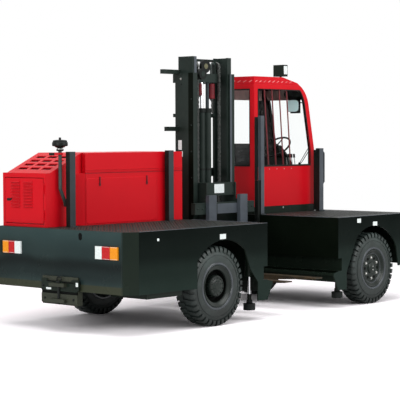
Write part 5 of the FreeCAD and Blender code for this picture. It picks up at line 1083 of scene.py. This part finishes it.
def pad(name, low, high, channels, along):
    """A stuffed pad: crowned on its free faces, drawn in at its sides, sewn in channels."""
    crown, pinch, squareness, cuts = 0.3, 0.03, 5, 26
    groove_depth, groove_width, border = 0.1, 0.035, 0.93
    middle, half = middle_of(low, high), half_of(low, high)
    mesh = bmesh.new()
    bmesh.ops.create_cube(mesh, size=2.0)
    bmesh.ops.subdivide_edges(mesh, edges=mesh.edges, cuts=cuts, use_grid_fill=True)
    thin = half.index(min(half))
    wide = [axis for axis in range(3) if axis != thin]
    for vert in mesh.verts:
        unit = Vector(vert.co)
        edge = max(abs(unit[axis]) for axis in wide)
        length = sum(abs(unit[axis]) ** squareness for axis in wide) ** (1 / squareness)
        if length > 0:
            for axis in wide:
                unit[axis] *= edge / length
        unit[thin] *= 1.0 - crown * edge ** 4
        for axis, other in (wide, wide[::-1]):
            unit[axis] *= 1.0 - pinch * (1 - unit[other] ** 2) * abs(unit[axis]) ** 6
        seams = [-1 + 2 * number / channels for number in range(1, channels)]
        groove = sum(math.exp(-((unit[along] - seam) / groove_width) ** 2) for seam in seams)
        if edge < border:
            unit[thin] *= 1.0 - groove_depth * min(1.0, groove)
        vert.co = [middle[axis] + half[axis] * unit[axis] for axis in range(3)]
    piece = smooth_object(name, mesh, ["vinyl"])
    smooth = piece.modifiers.new("soft", "SUBSURF")
    smooth.levels = smooth.render_levels = 1
    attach(piece, "root")
    return piece


def add_seat():
    """The squab and the backrest, each in its own part of the cushions' box."""
    low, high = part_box("seat_cushions")
    thick = 0.099
    split = low[0] + thick
    base = pad("seat_squab", (split + 0.002, low[1] + 0.002, low[2]),
               (high[0], high[1] - 0.002, low[2] + thick), 4, 0)
    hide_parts("seat_cushions")
    back = pad("seat_backrest", (low[0], low[1] + 0.006, low[2] + 0.001),
               (split - 0.001, high[1] - 0.006, high[2]), 5, 2)
    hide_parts("seat_cushions")


# ---- jacks and underside


def add_jack_details():
    """The boot round each jack's rod and the bead round its foot."""
    boot = [(0, 0.0704), (0.03, 0.0704), (0.034, 0.08), (0.03, 0.11), (0.0245, 0.112), (0.0245, 0.168),
            (0.0185, 0.172), (0, 0.172)]
    bead = [(0.055, 0.0), (0.0648, 0.004), (0.0648, 0.02), (0.055, 0.022)]
    for end in ("rear", "front"):
        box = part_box(f"{end}_jack")
        x, y, _ = middle_of(*box)
        foot, sides = box[0][2], 28
        form = Form()
        form.turned(boot, (x, y, foot), 2, "plastic", sides)
        form.turned(bead, (x, y, foot + 0.0505), 2, "iron", sides, True)
        form.finish(f"{end}_jack_collar", f"{end}_jack")


def add_underside():
    """Drive shaft and brake pipes under the rear deck, seen only from below."""
    axle_x = middle_of(*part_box("rear_axle"))[0]
    form = Form()
    form.tube([(axle_x - 0.16, 0, 0.43), (REAR + 0.62, 0, 0.62)], 0.032, "iron", 16)
    for side in (-1, 1):
        pipe = ((0.02, side * 0.56, 0.498), (0.02, side * 0.3, 0.5), (0.03, side * 0.28, 0.59))
        form.tube(bend([(axle_x + x, y, z) for x, y, z in pipe]), 0.006, "zinc", 6)
    form.block((REAR + 0.5, -0.16, 0.56), (REAR + 0.64, 0.16, 1.02), "iron")
    form.finish("drive_line", "root", bevel=0.004)


# ---- camera, light and floor


def set_camera():
    """The viewpoint: behind the truck on its load side, a little above the decks."""
    camera = linked("camera", bpy.data.cameras.new("camera"))
    bpy.context.scene.camera = camera
    camera.data.sensor_width = 36.0
    camera.data.lens = 136.86
    camera.data.clip_start, camera.data.clip_end = 0.5, 200.0
    yaw, pitch, roll = 0.72443, 0.04211, 0.00383
    ahead = Vector((math.cos(yaw) * math.cos(pitch), math.sin(yaw) * math.cos(pitch), -math.sin(pitch)))
    right = Vector((math.sin(yaw), -math.cos(yaw), 0.0))
    above = right.cross(ahead)
    across = right * math.cos(roll) - above * math.sin(roll)
    upward = right * math.sin(roll) + above * math.cos(roll)
    turn = Matrix((across, upward, -ahead)).transposed()
    camera.matrix_world = Matrix.Translation((-12.992, -11.245, 1.978)) @ turn.to_4x4()


def set_world():
    """Even pale light, with a plain white surround for the camera, on metal and through glass."""
    world = bpy.data.worlds.new("studio")
    bpy.context.scene.world = world
    add = emptied(world)
    rays = add("LightPath").node.outputs
    seen = rays["Is Camera Ray"]
    for ray in ("Is Glossy Ray", "Is Transmission Ray"):
        seen = add("Math", seen, rays[ray], operation="MAXIMUM")
    lit, white = [add("Background", (1, 1, 1, 1), strength) for strength in (0.5, 1.0)]
    add("OutputWorld", add("MixShader", seen, lit, white))


def add_lamp(name, spot, size, watts):
    """A rectangular lamp that looks at the middle of the truck."""
    light = bpy.data.lights.new(name, "AREA")
    light.shape = "RECTANGLE"
    light.size, light.size_y = size
    light.energy = watts
    lamp = linked(name, light)
    lamp.location = spot
    lamp.rotation_mode = "QUATERNION"
    lamp.rotation_quaternion = (Vector((0.0, 0.0, 1.0)) - Vector(spot)).to_track_quat("-Z", "Y")


def set_lights():
    """One lamp above, one behind and one on the load side."""
    add_lamp("top_light", (-1.0, -1.5, 8.0), (9.0, 6.0), 420)
    add_lamp("rear_light", (-9.5, -1.5, 4.0), (5.0, 4.0), 330)
    add_lamp("side_light", (2.0, -9.0, 4.5), (6.0, 4.0), 390)


def set_floor():
    """A pale floor, white to the camera where no shadow falls on it."""
    mesh = bpy.data.meshes.new("floor")
    reach = 60.0
    mesh.from_pydata([(-reach, -reach, 0), (reach, -reach, 0), (reach, reach, 0), (-reach, reach, 0)], [],
                     [(0, 1, 2, 3)])
    floor = linked("floor", mesh)
    paint = bpy.data.materials.new("floor_paint")
    add = emptied(paint)
    tints = ((0.86, 0.82, 0.85, 1), (0.5, 0.49, 0.5, 1))
    near = add("AddShader", *[add("BsdfDiffuse", colour) for colour in tints])
    far = add("Emission", (1, 1, 1, 1), 1.0)
    bounce = add("BsdfDiffuse", (0.74, 0.74, 0.74, 1))
    measure = add("VectorMath", add("TexCoord", give="Object"), operation="LENGTH", give="Value")
    fade = add("MapRange", measure, interpolation_type="SMOOTHSTEP", From_Min=3.6, From_Max=6.5)
    shown = add("MixShader", fade, near, far)
    add("OutputMaterial", add("MixShader", add("LightPath", give="Is Camera Ray"), bounce, shown))
    mesh.materials.append(paint)


set_camera()
paint_nodes()
add_tread()
add_deck_edges()
add_well_sills()
add_rear_face()
add_tail_lamps()
add_head_lamps()
add_hood_details()
add_housing_details()
add_intake_details()
add_post_details()
add_wheels()
add_mast_labels()
add_leaf_chains()
add_mast_hoses()
add_cylinder_glands()
add_carriage_details()
add_cab_seals()
add_cab_outside()
add_roof_slats()
add_headliner()
add_mirror()
add_steering_rim()
add_controls()
add_seat()
add_jack_details()
add_underside()
set_world()
set_lights()
set_floor()
bpy.context.scene.view_settings.view_transform = "Standard"
